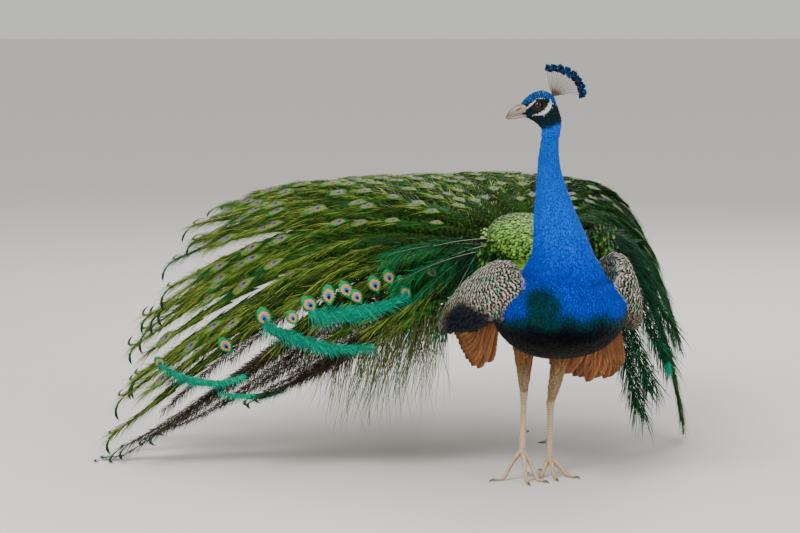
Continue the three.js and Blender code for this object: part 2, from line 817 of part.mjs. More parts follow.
// ---------------------------------------------------------------------------------------------
// The finished part, with its origin under the middle of its box
// ---------------------------------------------------------------------------------------------
const box = new THREE.Box3().setFromObject(bird);
const middle = box.getCenter(vec());
bird.position.set(-middle.x, -middle.y, -box.min.z);
const group = new THREE.Group();
group.add(bird);

export default group;
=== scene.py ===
"""A life-size museum model of an Indian peacock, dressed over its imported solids.

Every size is in metres, in the bird's own axes: the floor is at Z = 0, the origin lies between the
feet, -Y is ahead of the bird and +X is on its left. Frame.settle moves a finished shape from these
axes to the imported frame.
"""

import json
import logging
import math
from collections.abc import Callable, Sequence
from dataclasses import dataclass, field
from enum import Enum

import bpy
import numpy as np
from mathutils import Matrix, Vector
from mathutils.bvhtree import BVHTree
from mathutils.kdtree import KDTree

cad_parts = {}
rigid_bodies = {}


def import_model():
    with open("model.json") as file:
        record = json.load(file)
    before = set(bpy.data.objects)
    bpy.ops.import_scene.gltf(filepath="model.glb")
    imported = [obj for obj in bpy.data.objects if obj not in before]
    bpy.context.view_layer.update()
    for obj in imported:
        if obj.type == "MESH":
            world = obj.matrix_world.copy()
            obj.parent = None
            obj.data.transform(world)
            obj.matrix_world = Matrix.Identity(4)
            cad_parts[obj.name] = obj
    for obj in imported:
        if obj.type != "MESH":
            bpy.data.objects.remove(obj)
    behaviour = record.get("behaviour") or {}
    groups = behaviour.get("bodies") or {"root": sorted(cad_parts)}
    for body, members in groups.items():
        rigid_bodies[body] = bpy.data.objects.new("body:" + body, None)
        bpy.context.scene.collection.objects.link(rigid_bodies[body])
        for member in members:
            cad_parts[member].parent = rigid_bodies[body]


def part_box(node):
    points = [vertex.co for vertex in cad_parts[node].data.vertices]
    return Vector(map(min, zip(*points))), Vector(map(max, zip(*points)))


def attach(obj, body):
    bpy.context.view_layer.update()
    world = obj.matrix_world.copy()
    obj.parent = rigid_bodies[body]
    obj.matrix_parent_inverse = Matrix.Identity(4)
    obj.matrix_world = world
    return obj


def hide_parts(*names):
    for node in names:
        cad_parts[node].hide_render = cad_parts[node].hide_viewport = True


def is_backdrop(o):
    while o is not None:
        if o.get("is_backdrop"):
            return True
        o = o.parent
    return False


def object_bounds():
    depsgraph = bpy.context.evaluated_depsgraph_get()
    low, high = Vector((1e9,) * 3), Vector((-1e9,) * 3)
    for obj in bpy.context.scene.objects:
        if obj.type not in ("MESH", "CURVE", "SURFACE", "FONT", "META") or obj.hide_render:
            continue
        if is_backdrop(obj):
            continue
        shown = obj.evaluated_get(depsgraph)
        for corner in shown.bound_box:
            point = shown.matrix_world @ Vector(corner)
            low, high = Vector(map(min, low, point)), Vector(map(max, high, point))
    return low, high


LOG = logging.getLogger("peacock")
BODY = "root"
UP = np.array([0.0, 0.0, 1.0])
MM = 0.001
BAKE_MAP = "OFBake"  # the map that a coat's colours are baked through
TUFT_PATCH = 0.003  # how much of that map one small feather takes

Rows = Sequence[Sequence[float]]


# ---------------------------------------------------------------------------------------------
# Numbers
# ---------------------------------------------------------------------------------------------
def unit(vectors: np.ndarray) -> np.ndarray:
    """The vectors at length one."""
    return vectors / np.maximum(np.linalg.norm(vectors, axis=-1, keepdims=True), 1e-9)


def smoothstep(low: float, high: float, values: np.ndarray) -> np.ndarray:
    """A smooth rise from 0 at low to 1 at high."""
    share = np.clip((values - low) / (high - low), 0, 1)
    return share * share * (3 - 2 * share)


def mixed(first: np.ndarray, second: np.ndarray, share: np.ndarray) -> np.ndarray:
    """Colours or vectors mixed by a share for each point."""
    return first * (1 - share[..., None]) + second * share[..., None]


def read_rows(rows: Rows, at: np.ndarray) -> np.ndarray:
    """Rows of numbers read smoothly between their stations.

    Args:
        rows: Each row holds its position first, then its numbers.
        at: The positions to read at.

    Returns:
        The numbers, one row for each position.
    """
    table = np.array(rows, float)
    x, values = table[:, 0], table[:, 1:]
    at = np.clip(np.atleast_1d(at).astype(float), x[0], x[-1])
    after = np.clip(np.searchsorted(x, at, "right"), 1, len(x) - 1)
    before = after - 1
    first = np.where(before > 0, before - 1, after)
    last = np.where(after < len(x) - 1, after + 1, before)
    half = (x[after] - x[before]) / 2
    weight_first, weight_last = half / (x[before] - x[first]), half / (x[last] - x[after])
    p = (at - x[before]) / (x[after] - x[before])
    parts = (
        (first, -weight_first * (p**3 - 2 * p**2 + p)),
        (
            before,
            (1 + weight_first) * p**3 - (1.5 + 2 * weight_first) * p**2 - (0.5 - weight_first) * p + 1,
        ),
        (after, -(1 + weight_last) * p**3 + (1.5 + weight_last) * p**2 + 0.5 * p),
        (last, weight_last * (p**3 - p**2)),
    )
    return sum(share[:, None] * values[index] for index, share in parts)


def linear(red: float, green: float, blue: float) -> np.ndarray:
    """A colour named by its screen values from 0 to 255, as light."""
    screen = np.array([red, green, blue]) / 255
    return np.where(screen <= 0.04045, screen / 12.92, ((screen + 0.055) / 1.055) ** 2.4)


# ---------------------------------------------------------------------------------------------
# Shapes
# ---------------------------------------------------------------------------------------------
@dataclass
class Shape:
    """Points, the faces between them, and the numbers that each point carries."""

    points: np.ndarray
    quads: np.ndarray = field(default_factory=lambda: np.zeros((0, 4), int))
    triangles: np.ndarray = field(default_factory=lambda: np.zeros((0, 3), int))
    edges: np.ndarray = field(default_factory=lambda: np.zeros((0, 2), int))
    carried: dict[str, np.ndarray] = field(default_factory=dict)

    def volume(self) -> float:
        """The volume inside the faces, negative where they point inwards."""
        halves = [self.quads[:, [0, 1, 2]], self.quads[:, [0, 2, 3]], self.triangles]
        a, b, c = np.moveaxis(self.points[np.concatenate(halves)], 1, 0)
        return float(np.sum(a * np.cross(b, c)) / 6)

    def facing_out(self) -> "Shape":
        """The closed shape with its faces pointing outwards."""
        if self.volume() < 0:
            self.quads, self.triangles = self.quads[:, ::-1], self.triangles[:, ::-1]
        return self

    def mesh(self, name: str) -> bpy.types.Mesh:
        """The shape as a Blender mesh with an attribute for each carried array."""
        mesh = bpy.data.meshes.new(name)
        mesh.vertices.add(len(self.points))
        mesh.vertices.foreach_set("co", np.ascontiguousarray(self.points, np.float32).ravel())
        if len(self.edges):
            mesh.edges.add(len(self.edges))
            mesh.edges.foreach_set("vertices", np.ascontiguousarray(self.edges, np.int32).ravel())
        corners = np.concatenate([self.quads.ravel(), self.triangles.ravel()]).astype(np.int32)
        if len(corners):
            sizes = np.repeat([4, 3], [len(self.quads), len(self.triangles)])
            mesh.loops.add(len(corners))
            mesh.loops.foreach_set("vertex_index", corners)
            mesh.polygons.add(len(sizes))
            mesh.polygons.foreach_set("loop_start", (np.cumsum(sizes) - sizes).astype(np.int32))
            mesh.polygons.foreach_set("use_smooth", np.ones(len(sizes), bool))
        for carried, values in self.carried.items():
            store(mesh, carried, values)
        mesh.update(calc_edges=len(corners) > 0)
        return mesh

    def made(self, name: str) -> bpy.types.Object:
        """The shape as an object of the scene."""
        made = bpy.data.objects.new(name, self.mesh(name))
        bpy.context.scene.collection.objects.link(made)
        return made


def store(mesh: bpy.types.Mesh, name: str, values: np.ndarray) -> None:
    """Keeps a number, a pair, a vector or a colour for each point of a mesh."""
    kinds = {1: ("FLOAT", "value"), 2: ("FLOAT2", "vector"), 3: ("FLOAT_VECTOR", "vector")}
    values = np.asarray(values, np.float32)
    width = 1 if values.ndim == 1 else values.shape[1]
    kind, key = kinds.get(width, ("FLOAT_COLOR", "color"))
    mesh.attributes.new(name, kind, "POINT").data.foreach_set(key, values.ravel())


def joined(shapes: Sequence[Shape]) -> Shape:
    """Several shapes as one, with what all of them carry."""
    starts = np.cumsum([0] + [len(shape.points) for shape in shapes[:-1]])
    return Shape(
        np.concatenate([shape.points for shape in shapes]),
        np.concatenate([shape.quads + start for shape, start in zip(shapes, starts)]),
        np.concatenate([shape.triangles + start for shape, start in zip(shapes, starts)]),
        np.concatenate([shape.edges + start for shape, start in zip(shapes, starts)]),
        {key: np.concatenate([shape.carried[key] for shape in shapes]) for key in shapes[0].carried},
    )


def skin_over(rings: np.ndarray) -> Shape:
    """A closed shape over rings of equally many points, with a fan over each end.

    It carries "place": how far round its ring, and how far along the rings, each point is.
    """
    count, sides = rings.shape[:2]
    ends = rings[[0, -1]].mean(axis=1)
    i, j = np.meshgrid(np.arange(count - 1), np.arange(sides), indexing="ij")
    a, b = (i * sides + j).ravel(), (i * sides + (j + 1) % sides).ravel()
    around, turn = np.arange(sides), (np.arange(sides) + 1) % sides
    last = (count - 1) * sides
    first_fan = np.stack([np.full(sides, count * sides), turn, around], 1)
    last_fan = np.stack([np.full(sides, count * sides + 1), last + around, last + turn], 1)
    u, v = np.meshgrid(np.arange(sides) / sides, np.linspace(0, 1, count))
    place = np.concatenate([np.stack([u.ravel(), v.ravel()], 1), [[0.5, 0], [0.5, 1]]])
    return Shape(
        np.concatenate([rings.reshape(-1, 3), ends]),
        np.stack([a, b, b + sides, a + sides], 1),
        np.concatenate([first_fan, last_fan]),
        carried={"place": place},
    ).facing_out()


def ovals(
    middles: np.ndarray,
    across: np.ndarray,
    above: np.ndarray,
    below: np.ndarray,
    sides: int,
    powers: tuple[float, float] = (2, 2),
) -> np.ndarray:
    """Rings of superellipses, with their own height above and below the widest line."""
    angle = 2 * np.pi * np.arange(sides) / sides
    cosine, sine = np.cos(angle), np.sin(angle)
    power = 2 / np.where(sine > 0, *powers)
    x, y = np.sign(cosine) * np.abs(cosine) ** power, np.abs(sine) ** power
    vertical = np.where((sine > 0)[None, :, None], above[:, None, :], below[:, None, :])
    return middles[:, None] + across[:, None] * x[None, :, None] + vertical * y[None, :, None]


def axes_along(points: np.ndarray, side: np.ndarray) -> tuple[np.ndarray, np.ndarray, np.ndarray]:
    """The way along a path at each point, the way across it near a given side, and the way over."""
    along = unit(np.gradient(points, axis=0))
    across = unit(side - along * np.sum(side * along, axis=1, keepdims=True))
    return along, across, np.cross(across, along)


def limb(path: np.ndarray, half: np.ndarray, sides: int, side: np.ndarray | None = None) -> np.ndarray:
    """Rings round a path.

    Args:
        path: The middle line's points.
        half: Half the width and half the depth at each point.
        sides: Points in each ring.
        side: Roughly the way across, +X unless given.

    Returns:
        The rings.
    """
    _, across, over = axes_along(path, np.array([1.0, 0, 0]) if side is None else side)
    return ovals(path, across * half[:, :1], over * half[:, 1:], -over * half[:, 1:], sides)


def bezier(
    start: np.ndarray, first: np.ndarray, second: np.ndarray, end: np.ndarray, t: np.ndarray
) -> np.ndarray:
    """Points of cubic curves at shares t, which has one axis more than the ends have."""
    t = np.asarray(t)[..., None]
    return (1 - t) ** 3 * start + 3 * (1 - t) ** 2 * t * first + 3 * (1 - t) * t**2 * second + t**3 * end


@dataclass(frozen=True)
class Vane:
    """A thin closed blade of length 1 along +Y and width 1, which carries its own "vane" map.

    Attributes:
        rows: Spans along it.
        columns: Spans across it.
        outline: Half the width at a share of the length.
        camber: How far the middle stands over the edges.
        curl: How far the tip bends down.
        thickness: How thick its middle is.
        frill: How deeply its edge is cut between the rows.
    """

    rows: int
    columns: int
    outline: Callable[[np.ndarray], np.ndarray]
    camber: float = 0.1
    curl: float = 0.1
    thickness: float = 0.03
    frill: float = 0.0

    def shape(self) -> Shape:
        """The blade, whose upper and lower faces share their rim."""
        along = np.linspace(0, 1, self.rows + 1)
        across = np.linspace(-1, 1, self.columns + 1)
        half = self.outline(along) * (1 - self.frill * (np.arange(self.rows + 1) % 2))
        x = half[:, None] * across
        rim = np.abs(across) > 0.99
        y = along[:, None] - self.frill * 0.5 * rim[None] * half[:, None]
        round_over = 1 - across[None] ** 2
        z = self.camber * round_over * half[:, None] - self.curl * along[:, None] ** 2
        top = np.stack([x, y + 0 * x, z + 0 * x], -1)
        under = top - np.array([0, 0, 1.0]) * (self.thickness * round_over)[..., None]
        index = np.arange(top.shape[0] * top.shape[1]).reshape(top.shape[:2])
        inner = np.zeros_like(index, bool)
        inner[1:-1, 1:-1] = True
        lower = index.copy()
        lower[inner] = index.size + np.arange(inner.sum())
        points = np.concatenate([top.reshape(-1, 3), under[inner]])
        vane = np.stack([0.5 + 0.5 * across[None] + 0 * x, along[:, None] + 0 * x], -1)

        def cells(grid: np.ndarray) -> np.ndarray:
            return np.stack([grid[:-1, :-1], grid[:-1, 1:], grid[1:, 1:], grid[1:, :-1]], -1).reshape(-1, 4)

        return Shape(
            points,
            np.concatenate([cells(index), cells(lower)[:, ::-1]]),
            carried={"vane": np.concatenate([vane.reshape(-1, 2), vane[inner]])},
        ).facing_out()


@dataclass(frozen=True)
class Strand:
    """A tapering hair of length 1 along +Y, which bends towards +X.

    Attributes:
        steps: Spans along it.
        width: Its width at the root.
        bend: How far the tip lies to the side.
    """

    steps: int
    width: float
    bend: float = 0.0

    def shape(self) -> Shape:
        """The hair, three-sided, ending in a point."""
        t = np.linspace(0, 1, self.steps + 1)[:-1]
        size = self.width * (1 - 0.6 * t)
        corner = np.array([[-0.5, 0, 0], [0.5, 0, 0], [0, 0, 0.45]])
        middle = np.stack([self.bend * t**2, t, 0 * t], 1)
        rings = middle[:, None] + corner[None] * size[:, None, None]
        tip = np.array([[self.bend, 1, 0]])
        i, j = np.meshgrid(np.arange(self.steps - 1), np.arange(3), indexing="ij")
        a, b = (i * 3 + j).ravel(), (i * 3 + (j + 1) % 3).ravel()
        last, end = (self.steps - 1) * 3, self.steps * 3
        caps = [[2, 1, 0], [last, last + 1, end], [last + 1, last + 2, end], [last + 2, last, end]]
        vane = np.stack([np.full(self.steps * 3 + 1, 0.5), np.append(np.repeat(t, 3), 1)], 1)
        return Shape(
            np.concatenate([rings.reshape(-1, 3), tip]),
            np.stack([a, b, b + 3, a + 3], 1),
            np.array(caps),
            carried={"vane": vane},
        ).facing_out()


# ---------------------------------------------------------------------------------------------
# Geometry Nodes
# ---------------------------------------------------------------------------------------------
class Tree:
    """A Geometry Nodes tree that is built node by node."""

    def __init__(self, name: str, **inputs: str) -> None:
        """Starts a tree.

        Args:
            name: The tree's name.
            inputs: The kind of socket of each named input after the geometry.
        """
        self.group = bpy.data.node_groups.new(name, "GeometryNodeTree")
        face = self.group.interface
        face.new_socket("Geometry", in_out="INPUT", socket_type="NodeSocketGeometry")
        for label, kind in inputs.items():
            face.new_socket(label, in_out="INPUT", socket_type=f"NodeSocket{kind}")
        face.new_socket("Geometry", in_out="OUTPUT", socket_type="NodeSocketGeometry")
        self.inputs = self.group.nodes.new("NodeGroupInput").outputs
        self.output = self.group.nodes.new("NodeGroupOutput")

    def node(self, kind: str, settings: dict | None = None, **sockets: object) -> bpy.types.Node:
        """Adds a node.

        Args:
            kind: The node's type.
            settings: Its own settings, made before its sockets are filled.
            sockets: A value or an output for each socket, by its identifier.

        Returns:
            The node.
        """
        node = self.group.nodes.new(kind)
        for key, value in (settings or {}).items():
            setattr(node, key, value)
        places = {socket.identifier: socket for socket in node.inputs}
        for key, value in sockets.items():
            fill(self.group, places[key], value)
        return node

    def named(self, name: str | bpy.types.NodeSocket, kind: str) -> bpy.types.NodeSocket:
        """A named attribute's output."""
        return self.node("GeometryNodeInputNamedAttribute", {"data_type": kind}, Name=name).outputs[0]

    def finish(self, geometry: bpy.types.NodeSocket) -> "Tree":
        """Realizes the instances, gives each tuft its patch of the map, and sets the material."""
        real = self.node("GeometryNodeRealizeInstances", Geometry=geometry).outputs[0]
        centred = self.vector("SUBTRACT", self.named("vane", "FLOAT_VECTOR"), (0.5, 0.5, 0))
        patch = self.vector("SCALE", centred, Scale=self.inputs["Patch"])
        place = self.vector("ADD", self.named("root_place", "FLOAT_VECTOR"), patch)
        settings = {"data_type": "FLOAT2", "domain": "CORNER"}
        mapped = self.node(
            "GeometryNodeStoreNamedAttribute", settings, Geometry=real, Name=BAKE_MAP, Value=place
        )
        smooth = self.node("GeometryNodeSetShadeSmooth", Geometry=mapped.outputs[0])
        dressed = self.node(
            "GeometryNodeSetMaterial", Geometry=smooth.outputs[0], Material=self.inputs["Material"]
        )
        self.group.links.new(dressed.outputs[0], self.output.inputs[0])
        return self

    def vector(
        self, operation: str, first: object, second: object = None, **sockets: object
    ) -> bpy.types.NodeSocket:
        """The output of a Vector Math node."""
        places = {"Vector": first, **({} if second is None else {"Vector_001": second}), **sockets}
        return self.node("ShaderNodeVectorMath", {"operation": operation}, **places).outputs["Vector"]

    def dress(self, source: bpy.types.Object, name: str, **values: object) -> bpy.types.Object:
        """Runs the tree on an object and keeps the result as a plain mesh.

        Args:
            source: What the tree works on.
            name: The new piece's name.
            values: A value for each of the tree's inputs.

        Returns:
            The new piece.
        """
        modifier = source.modifiers.new(name, "NODES")
        modifier.node_group = self.group
        for item in self.group.interface.items_tree:
            if item.in_out == "INPUT" and item.name in values:
                modifier[item.identifier] = values[item.name]
        source.update_tag()
        mesh = plain_mesh(source, name)
        source.modifiers.remove(modifier)
        piece = bpy.data.objects.new(name, mesh)
        bpy.context.scene.collection.objects.link(piece)
        return piece


def fill(group: bpy.types.NodeTree, socket: bpy.types.NodeSocket, value: object) -> None:
    """Links an output to a socket, or sets the socket's own value."""
    if isinstance(value, bpy.types.NodeSocket):
        group.links.new(value, socket)
    else:
        socket.default_value = value


def plain_mesh(source: bpy.types.Object, name: str) -> bpy.types.Mesh:
    """The mesh of an object with its modifiers applied."""
    seen = source.evaluated_get(bpy.context.evaluated_depsgraph_get())
    mesh = bpy.data.meshes.new_from_object(
        seen, preserve_all_data_layers=True, depsgraph=bpy.context.evaluated_depsgraph_get()
    )
    mesh.name = name
    return mesh


def coat_tree() -> Tree:
    """Small feathers spread evenly over a skin, lying the way that the skin says."""
    tree = Tree(
        "feather_coat",
        Feather="Object",
        Spacing="Float",
        Seed="Int",
        Lift="Float",
        Ruffle="Float",
        Width="Float",
        Cover="String",
        Patch="Float",
        Material="Material",
    )
    given = tree.inputs
    spread = tree.node(
        "GeometryNodeDistributePointsOnFaces",
        {"distribute_method": "POISSON"},
        Mesh=given["Geometry"],
        **{
            "Distance Min": given["Spacing"],
            "Density Max": tree.node(
                "ShaderNodeMath",
                {"operation": "DIVIDE"},
                Value=1.6,
                Value_001=tree.node(
                    "ShaderNodeMath", {"operation": "POWER"}, Value=given["Spacing"], Value_001=2.0
                ).outputs[0],
            ).outputs[0],
            "Density Factor": tree.named(given["Cover"], "FLOAT"),
            "Seed": given["Seed"],
        },
    )
    lie = {"primary_axis": "Z", "secondary_axis": "Y"}
    flat = tree.node(
        "FunctionNodeAxesToRotation",
        lie,
        **{"Primary Axis": spread.outputs["Normal"], "Secondary Axis": tree.named("lie", "FLOAT_VECTOR")},
    )
    chance = {"data_type": "FLOAT"}
    back = tree.node(
        "ShaderNodeMath", {"operation": "MULTIPLY"}, Value=given["Ruffle"], Value_001=-1.0
    ).outputs[0]
    sway, raise_by = (
        tree.node(
            "FunctionNodeRandomValue", chance, Min_001=back, Max_001=given["Ruffle"], Seed=seed
        ).outputs[1]
        for seed in (3, 7)
    )
    lifted = tree.node(
        "ShaderNodeMath", {"operation": "ADD"}, Value=given["Lift"], Value_001=raise_by
    ).outputs[0]
    rotation = flat.outputs[0]
    for axis, angle in (((0, 0, 1), sway), ((1, 0, 0), lifted)):
        turn = tree.node("FunctionNodeAxisAngleToRotation", Axis=axis, Angle=angle).outputs[0]
        rotation = tree.node(
            "FunctionNodeRotateRotation", {"rotation_space": "LOCAL"}, Rotation=rotation, **{
                "Rotate By": turn
            }
        ).outputs[0]
    length = tree.named("feather_length", "FLOAT")
    width = tree.node(
        "ShaderNodeMath", {"operation": "MULTIPLY"}, Value=length, Value_001=given["Width"]
    ).outputs[0]
    size = tree.node("ShaderNodeCombineXYZ", X=width, Y=length, Z=length).outputs[0]
    feather = tree.node("GeometryNodeObjectInfo", Object=given["Feather"]).outputs["Geometry"]
    toned = tree.node(
        "GeometryNodeStoreNamedAttribute",
        {"data_type": "FLOAT", "domain": "POINT"},
        Geometry=spread.outputs["Points"],
        Name="tone",
        Value=tree.node("FunctionNodeRandomValue", chance, Min_001=0.0, Max_001=1.0, Seed=11).outputs[1],
    )
    placed = tree.node(
        "GeometryNodeInstanceOnPoints", Points=toned.outputs[0], Instance=feather, Rotation=rotation, Scale=size
    )
    return tree.finish(placed.outputs[0])


def setting_tree() -> Tree:
    """One piece set on each point, turned by the point's own "along" and "over" and sized by its "size"."""
    tree = Tree("set_on_points", Piece="Object", Patch="Float", Material="Material")
    rotation = tree.node(
        "FunctionNodeAxesToRotation",
        {"primary_axis": "Y", "secondary_axis": "Z"},
        **{
            "Primary Axis": tree.named("along", "FLOAT_VECTOR"),
            "Secondary Axis": tree.named("over", "FLOAT_VECTOR"),
        },
    ).outputs[0]
    piece = tree.node("GeometryNodeObjectInfo", Object=tree.inputs["Piece"]).outputs["Geometry"]
    placed = tree.node(
        "GeometryNodeInstanceOnPoints",
        Points=tree.inputs["Geometry"],
        Instance=piece,
        Rotation=rotation,
        Scale=tree.named("size", "FLOAT_VECTOR"),
    )
    return tree.finish(placed.outputs[0])


def quill_tree() -> Tree:
    """A tapering shaft along each line, as thick as its points say."""
    tree = Tree("quills_along_lines", Sides="Int", Patch="Float", Material="Material")
    curve = tree.node("GeometryNodeMeshToCurve", Mesh=tree.inputs["Geometry"]).outputs[0]
    ring = tree.node(
        "GeometryNodeCurvePrimitiveCircle", Resolution=tree.inputs["Sides"], Radius=1.0
    ).outputs[0]
    shaft = tree.node(
        "GeometryNodeCurveToMesh",
        Curve=curve,
        **{"Profile Curve": ring, "Scale": tree.named("thick", "FLOAT"), "Fill Caps": True},
    ).outputs[0]
    return tree.finish(shaft)


# ---------------------------------------------------------------------------------------------
# Shading
# ---------------------------------------------------------------------------------------------
class Signal:
    """A number in a shader; the operators on it add the Math nodes."""

    def __init__(self, paint: "Paint", socket: bpy.types.NodeSocket) -> None:
        """Wraps a socket of a paint's tree."""
        self.paint, self.socket = paint, socket

    def math(self, operation: str, *operands: "Signal | float", flipped: bool = False) -> "Signal":
        """The result of a Math node on this number and others, in turned order when flipped."""
        order = [*operands, self] if flipped else [self, *operands]
        values = [each.socket if isinstance(each, Signal) else float(each) for each in order]
        places = dict(zip(("Value", "Value_001", "Value_002"), values))
        return Signal(
            self.paint, self.paint.node("ShaderNodeMath", {"operation": operation}, **places).outputs[0]
        )

    def __add__(self, other: "Signal | float") -> "Signal":
        """The sum."""
        return self.math("ADD", other)

    def __sub__(self, other: "Signal | float") -> "Signal":
        """The difference."""
        return self.math("SUBTRACT", other)

    def __rsub__(self, other: float) -> "Signal":
        """A number less this one."""
        return self.math("SUBTRACT", other, flipped=True)

    def __mul__(self, other: "Signal | float") -> "Signal":
        """The product."""
        return self.math("MULTIPLY", other)

    def __truediv__(self, other: "Signal | float") -> "Signal":
        """The quotient."""
        return self.math("DIVIDE", other)

    def __pow__(self, other: float) -> "Signal":
        """The power."""
        return self.math("POWER", other)

    __radd__, __rmul__ = __add__, __mul__

    def rise(self, low: float, high: float) -> "Signal":
        """A smooth rise from 0 at low to 1 at high."""
        settings = {"interpolation_type": "SMOOTHSTEP"}
        places = {"Value": self.socket, "From Min": low, "From Max": high}
        return Signal(self.paint, self.paint.node("ShaderNodeMapRange", settings, **places).outputs[0])


Stops = Sequence[tuple[float, np.ndarray]]


class Paint:
    """One material, built node by node round a Principled shader."""

    def __init__(self, name: str, **constants: float) -> None:
        """Starts a material.

        Args:
            name: The material's name.
            constants: Values of the shader's own sockets, with _ for each space.
        """
        self.material = bpy.data.materials.new(name)
        self.material.use_nodes = True
        self.tree = self.material.node_tree
        self.shader = next(node for node in self.tree.nodes if node.type == "BSDF_PRINCIPLED")
        for key, value in constants.items():
            self.shader.inputs[key.replace("_", " ")].default_value = value

    def node(self, kind: str, settings: dict | None = None, **sockets: object) -> bpy.types.Node:
        """Adds a node.

        Args:
            kind: The node's type.
            settings: Its own settings, made before its sockets are filled; stops are a ramp's.
            sockets: A value or an output for each socket, by its identifier.

        Returns:
            The node.
        """
        node = self.tree.nodes.new(kind)
        for key, value in (settings or {}).items():
            if key == "stops":
                elements = node.color_ramp.elements
                while len(elements) < len(value):
                    elements.new(0.5)
                for element, (position, colour) in zip(elements, value):
                    element.position, element.color = position, (*colour, 1)
            else:
                setattr(node, key, value)
        places = {socket.identifier: socket for socket in node.inputs}
        for key, value in sockets.items():
            fill(self.tree, places[key], value)
        return node

    def number(self, name: str) -> Signal:
        """A number that the mesh carries."""
        return Signal(self, self.node("ShaderNodeAttribute", {"attribute_name": name}).outputs["Fac"])

    def colour(self, name: str) -> bpy.types.NodeSocket:
        """A colour or vector that the mesh carries."""
        return self.node("ShaderNodeAttribute", {"attribute_name": name}).outputs["Vector"]

    def split(self, vector: bpy.types.NodeSocket) -> tuple[Signal, Signal, Signal]:
        """The three numbers of a vector."""
        return tuple(Signal(self, out) for out in self.node("ShaderNodeSeparateXYZ", Vector=vector).outputs)

    def combined(self, *numbers: Signal | float) -> bpy.types.NodeSocket:
        """A vector of three numbers."""
        values = [each.socket if isinstance(each, Signal) else each for each in numbers]
        return self.node("ShaderNodeCombineXYZ", **dict(zip("XYZ", values))).outputs[0]

    def noise(self, scale: float, detail: float = 2, at: bpy.types.NodeSocket | None = None) -> Signal:
        """Noise over the object's own coordinates, or over another vector."""
        at = at or self.node("ShaderNodeTexCoord").outputs["Object"]
        return Signal(
            self, self.node("ShaderNodeTexNoise", Vector=at, Scale=scale, Detail=detail).outputs[0]
        )

    def mix(self, share: Signal | float, first: object, second: object) -> bpy.types.NodeSocket:
        """Two colours mixed by a share."""
        pair = [(*each, 1) if isinstance(each, (tuple, np.ndarray)) else each for each in (first, second)]
        factor = share.socket if isinstance(share, Signal) else share
        settings = {"data_type": "RGBA"}
        node = self.node("ShaderNodeMix", settings, Factor_Float=factor, A_Color=pair[0], B_Color=pair[1])
        return next(out for out in node.outputs if out.identifier == "Result_Color")

    def scaled(self, colour: bpy.types.NodeSocket, by: Signal) -> bpy.types.NodeSocket:
        """A colour made lighter or darker by a number."""
        return self.node(
            "ShaderNodeVectorMath", {"operation": "SCALE"}, Vector=colour, Scale=by.socket
        ).outputs[0]

    def ramp(self, at: Signal, stops: Stops, smooth: bool = True) -> bpy.types.NodeSocket:
        """A colour read from a ramp."""
        node = self.node("ShaderNodeValToRGB", {"stops": stops}, Fac=at.socket)
        node.color_ramp.interpolation = "EASE" if smooth else "LINEAR"
        return node.outputs["Color"]

    def finished(
        self, colour: object, bump: Signal | None = None, height: float = 0.0005
    ) -> bpy.types.Material:
        """Feeds the shader its colour and its bump.

        Args:
            colour: The base colour.
            bump: How high the surface stands, from 0 to 1.
            height: What a height of 1 means, in metres.

        Returns:
            The material.
        """
        fill(self.tree, self.shader.inputs["Base Color"], colour)
        if bump:
            node = self.node("ShaderNodeBump", Height=bump.socket, Distance=height)
            self.tree.links.new(node.outputs[0], self.shader.inputs["Normal"])
        return self.material


@dataclass(frozen=True)
class Feathering:
    """The finish of small feathers that carry their own tint.

    Attributes:
        name: The material's name.
        metallic: How metallic the sheen is.
        roughness: How dull the sheen is.
        root: How dark a feather is at its root, as a share of its tint.
        tip: How bright it is at its tip.
        spread: How much one feather differs from the next.
        rim: How dark its rim is drawn, from 0 for not at all.
        barbs: How many barbs show along it.
        shine: How strongly it reflects besides.
    """

    name: str
    metallic: float
    roughness: float
    root: float = 0.55
    tip: float = 1.25
    spread: float = 0.35
    rim: float = 0.0
    barbs: float = 26
    shine: float = 0.25

    def paint(self) -> tuple[Paint, bpy.types.NodeSocket, Signal]:
        """The material begun, with its colour and its barbs' height."""
        paint = Paint(
            self.name, Metallic=self.metallic, Roughness=self.roughness, Specular_IOR_Level=self.shine
        )
        across, along, _ = paint.split(paint.colour("vane"))
        side = (across - 0.5).math("ABSOLUTE") * 2
        light = self.root + (self.tip - self.root) * along.rise(0.15, 0.9)
        light = light * (1 - self.spread / 2 + self.spread * paint.number("tone"))
        if self.rim:
            far = side.math("MAXIMUM", along)
            light = light * (1 - self.rim * far.rise(0.72, 0.98))
        barbs = ((along * self.barbs - side * self.barbs * 0.35) * (2 * math.pi)).math("SINE") * 0.5 + 0.5
        colour = paint.scaled(paint.colour("tint"), light * (0.86 + 0.2 * barbs))
        return paint, colour, barbs

    def material(self) -> bpy.types.Material:
        """The finish as a material."""
        paint, colour, barbs = self.paint()
        return paint.finished(colour, barbs, 0.0002)


@dataclass(frozen=True)
class BarredFeathering(Feathering):
    """Small feathers with dark wavy bars across a pale ground."""

    bars: float = 2.6

    def material(self) -> bpy.types.Material:
        """The finish as a material."""
        paint, colour, barbs = self.paint()
        across, along, _ = paint.split(paint.colour("vane"))
        side = (across - 0.5).math("ABSOLUTE") * 2
        wander = paint.noise(150, 3) * 0.9
        wave = ((along - side * 0.16) * self.bars + wander + paint.number("tone")) * (2 * math.pi)
        dark = (wave.math("SINE") + (paint.noise(420, 2) - 0.5) * 1.6).rise(-0.3, 0.2)
        gloss = paint.noise(55, 2).rise(0.54, 0.6) * 0.6
        pale = paint.mix(gloss, colour, linear(96, 178, 146))
        return paint.finished(paint.mix(dark, pale, linear(16, 15, 14)), barbs, 0.0002)


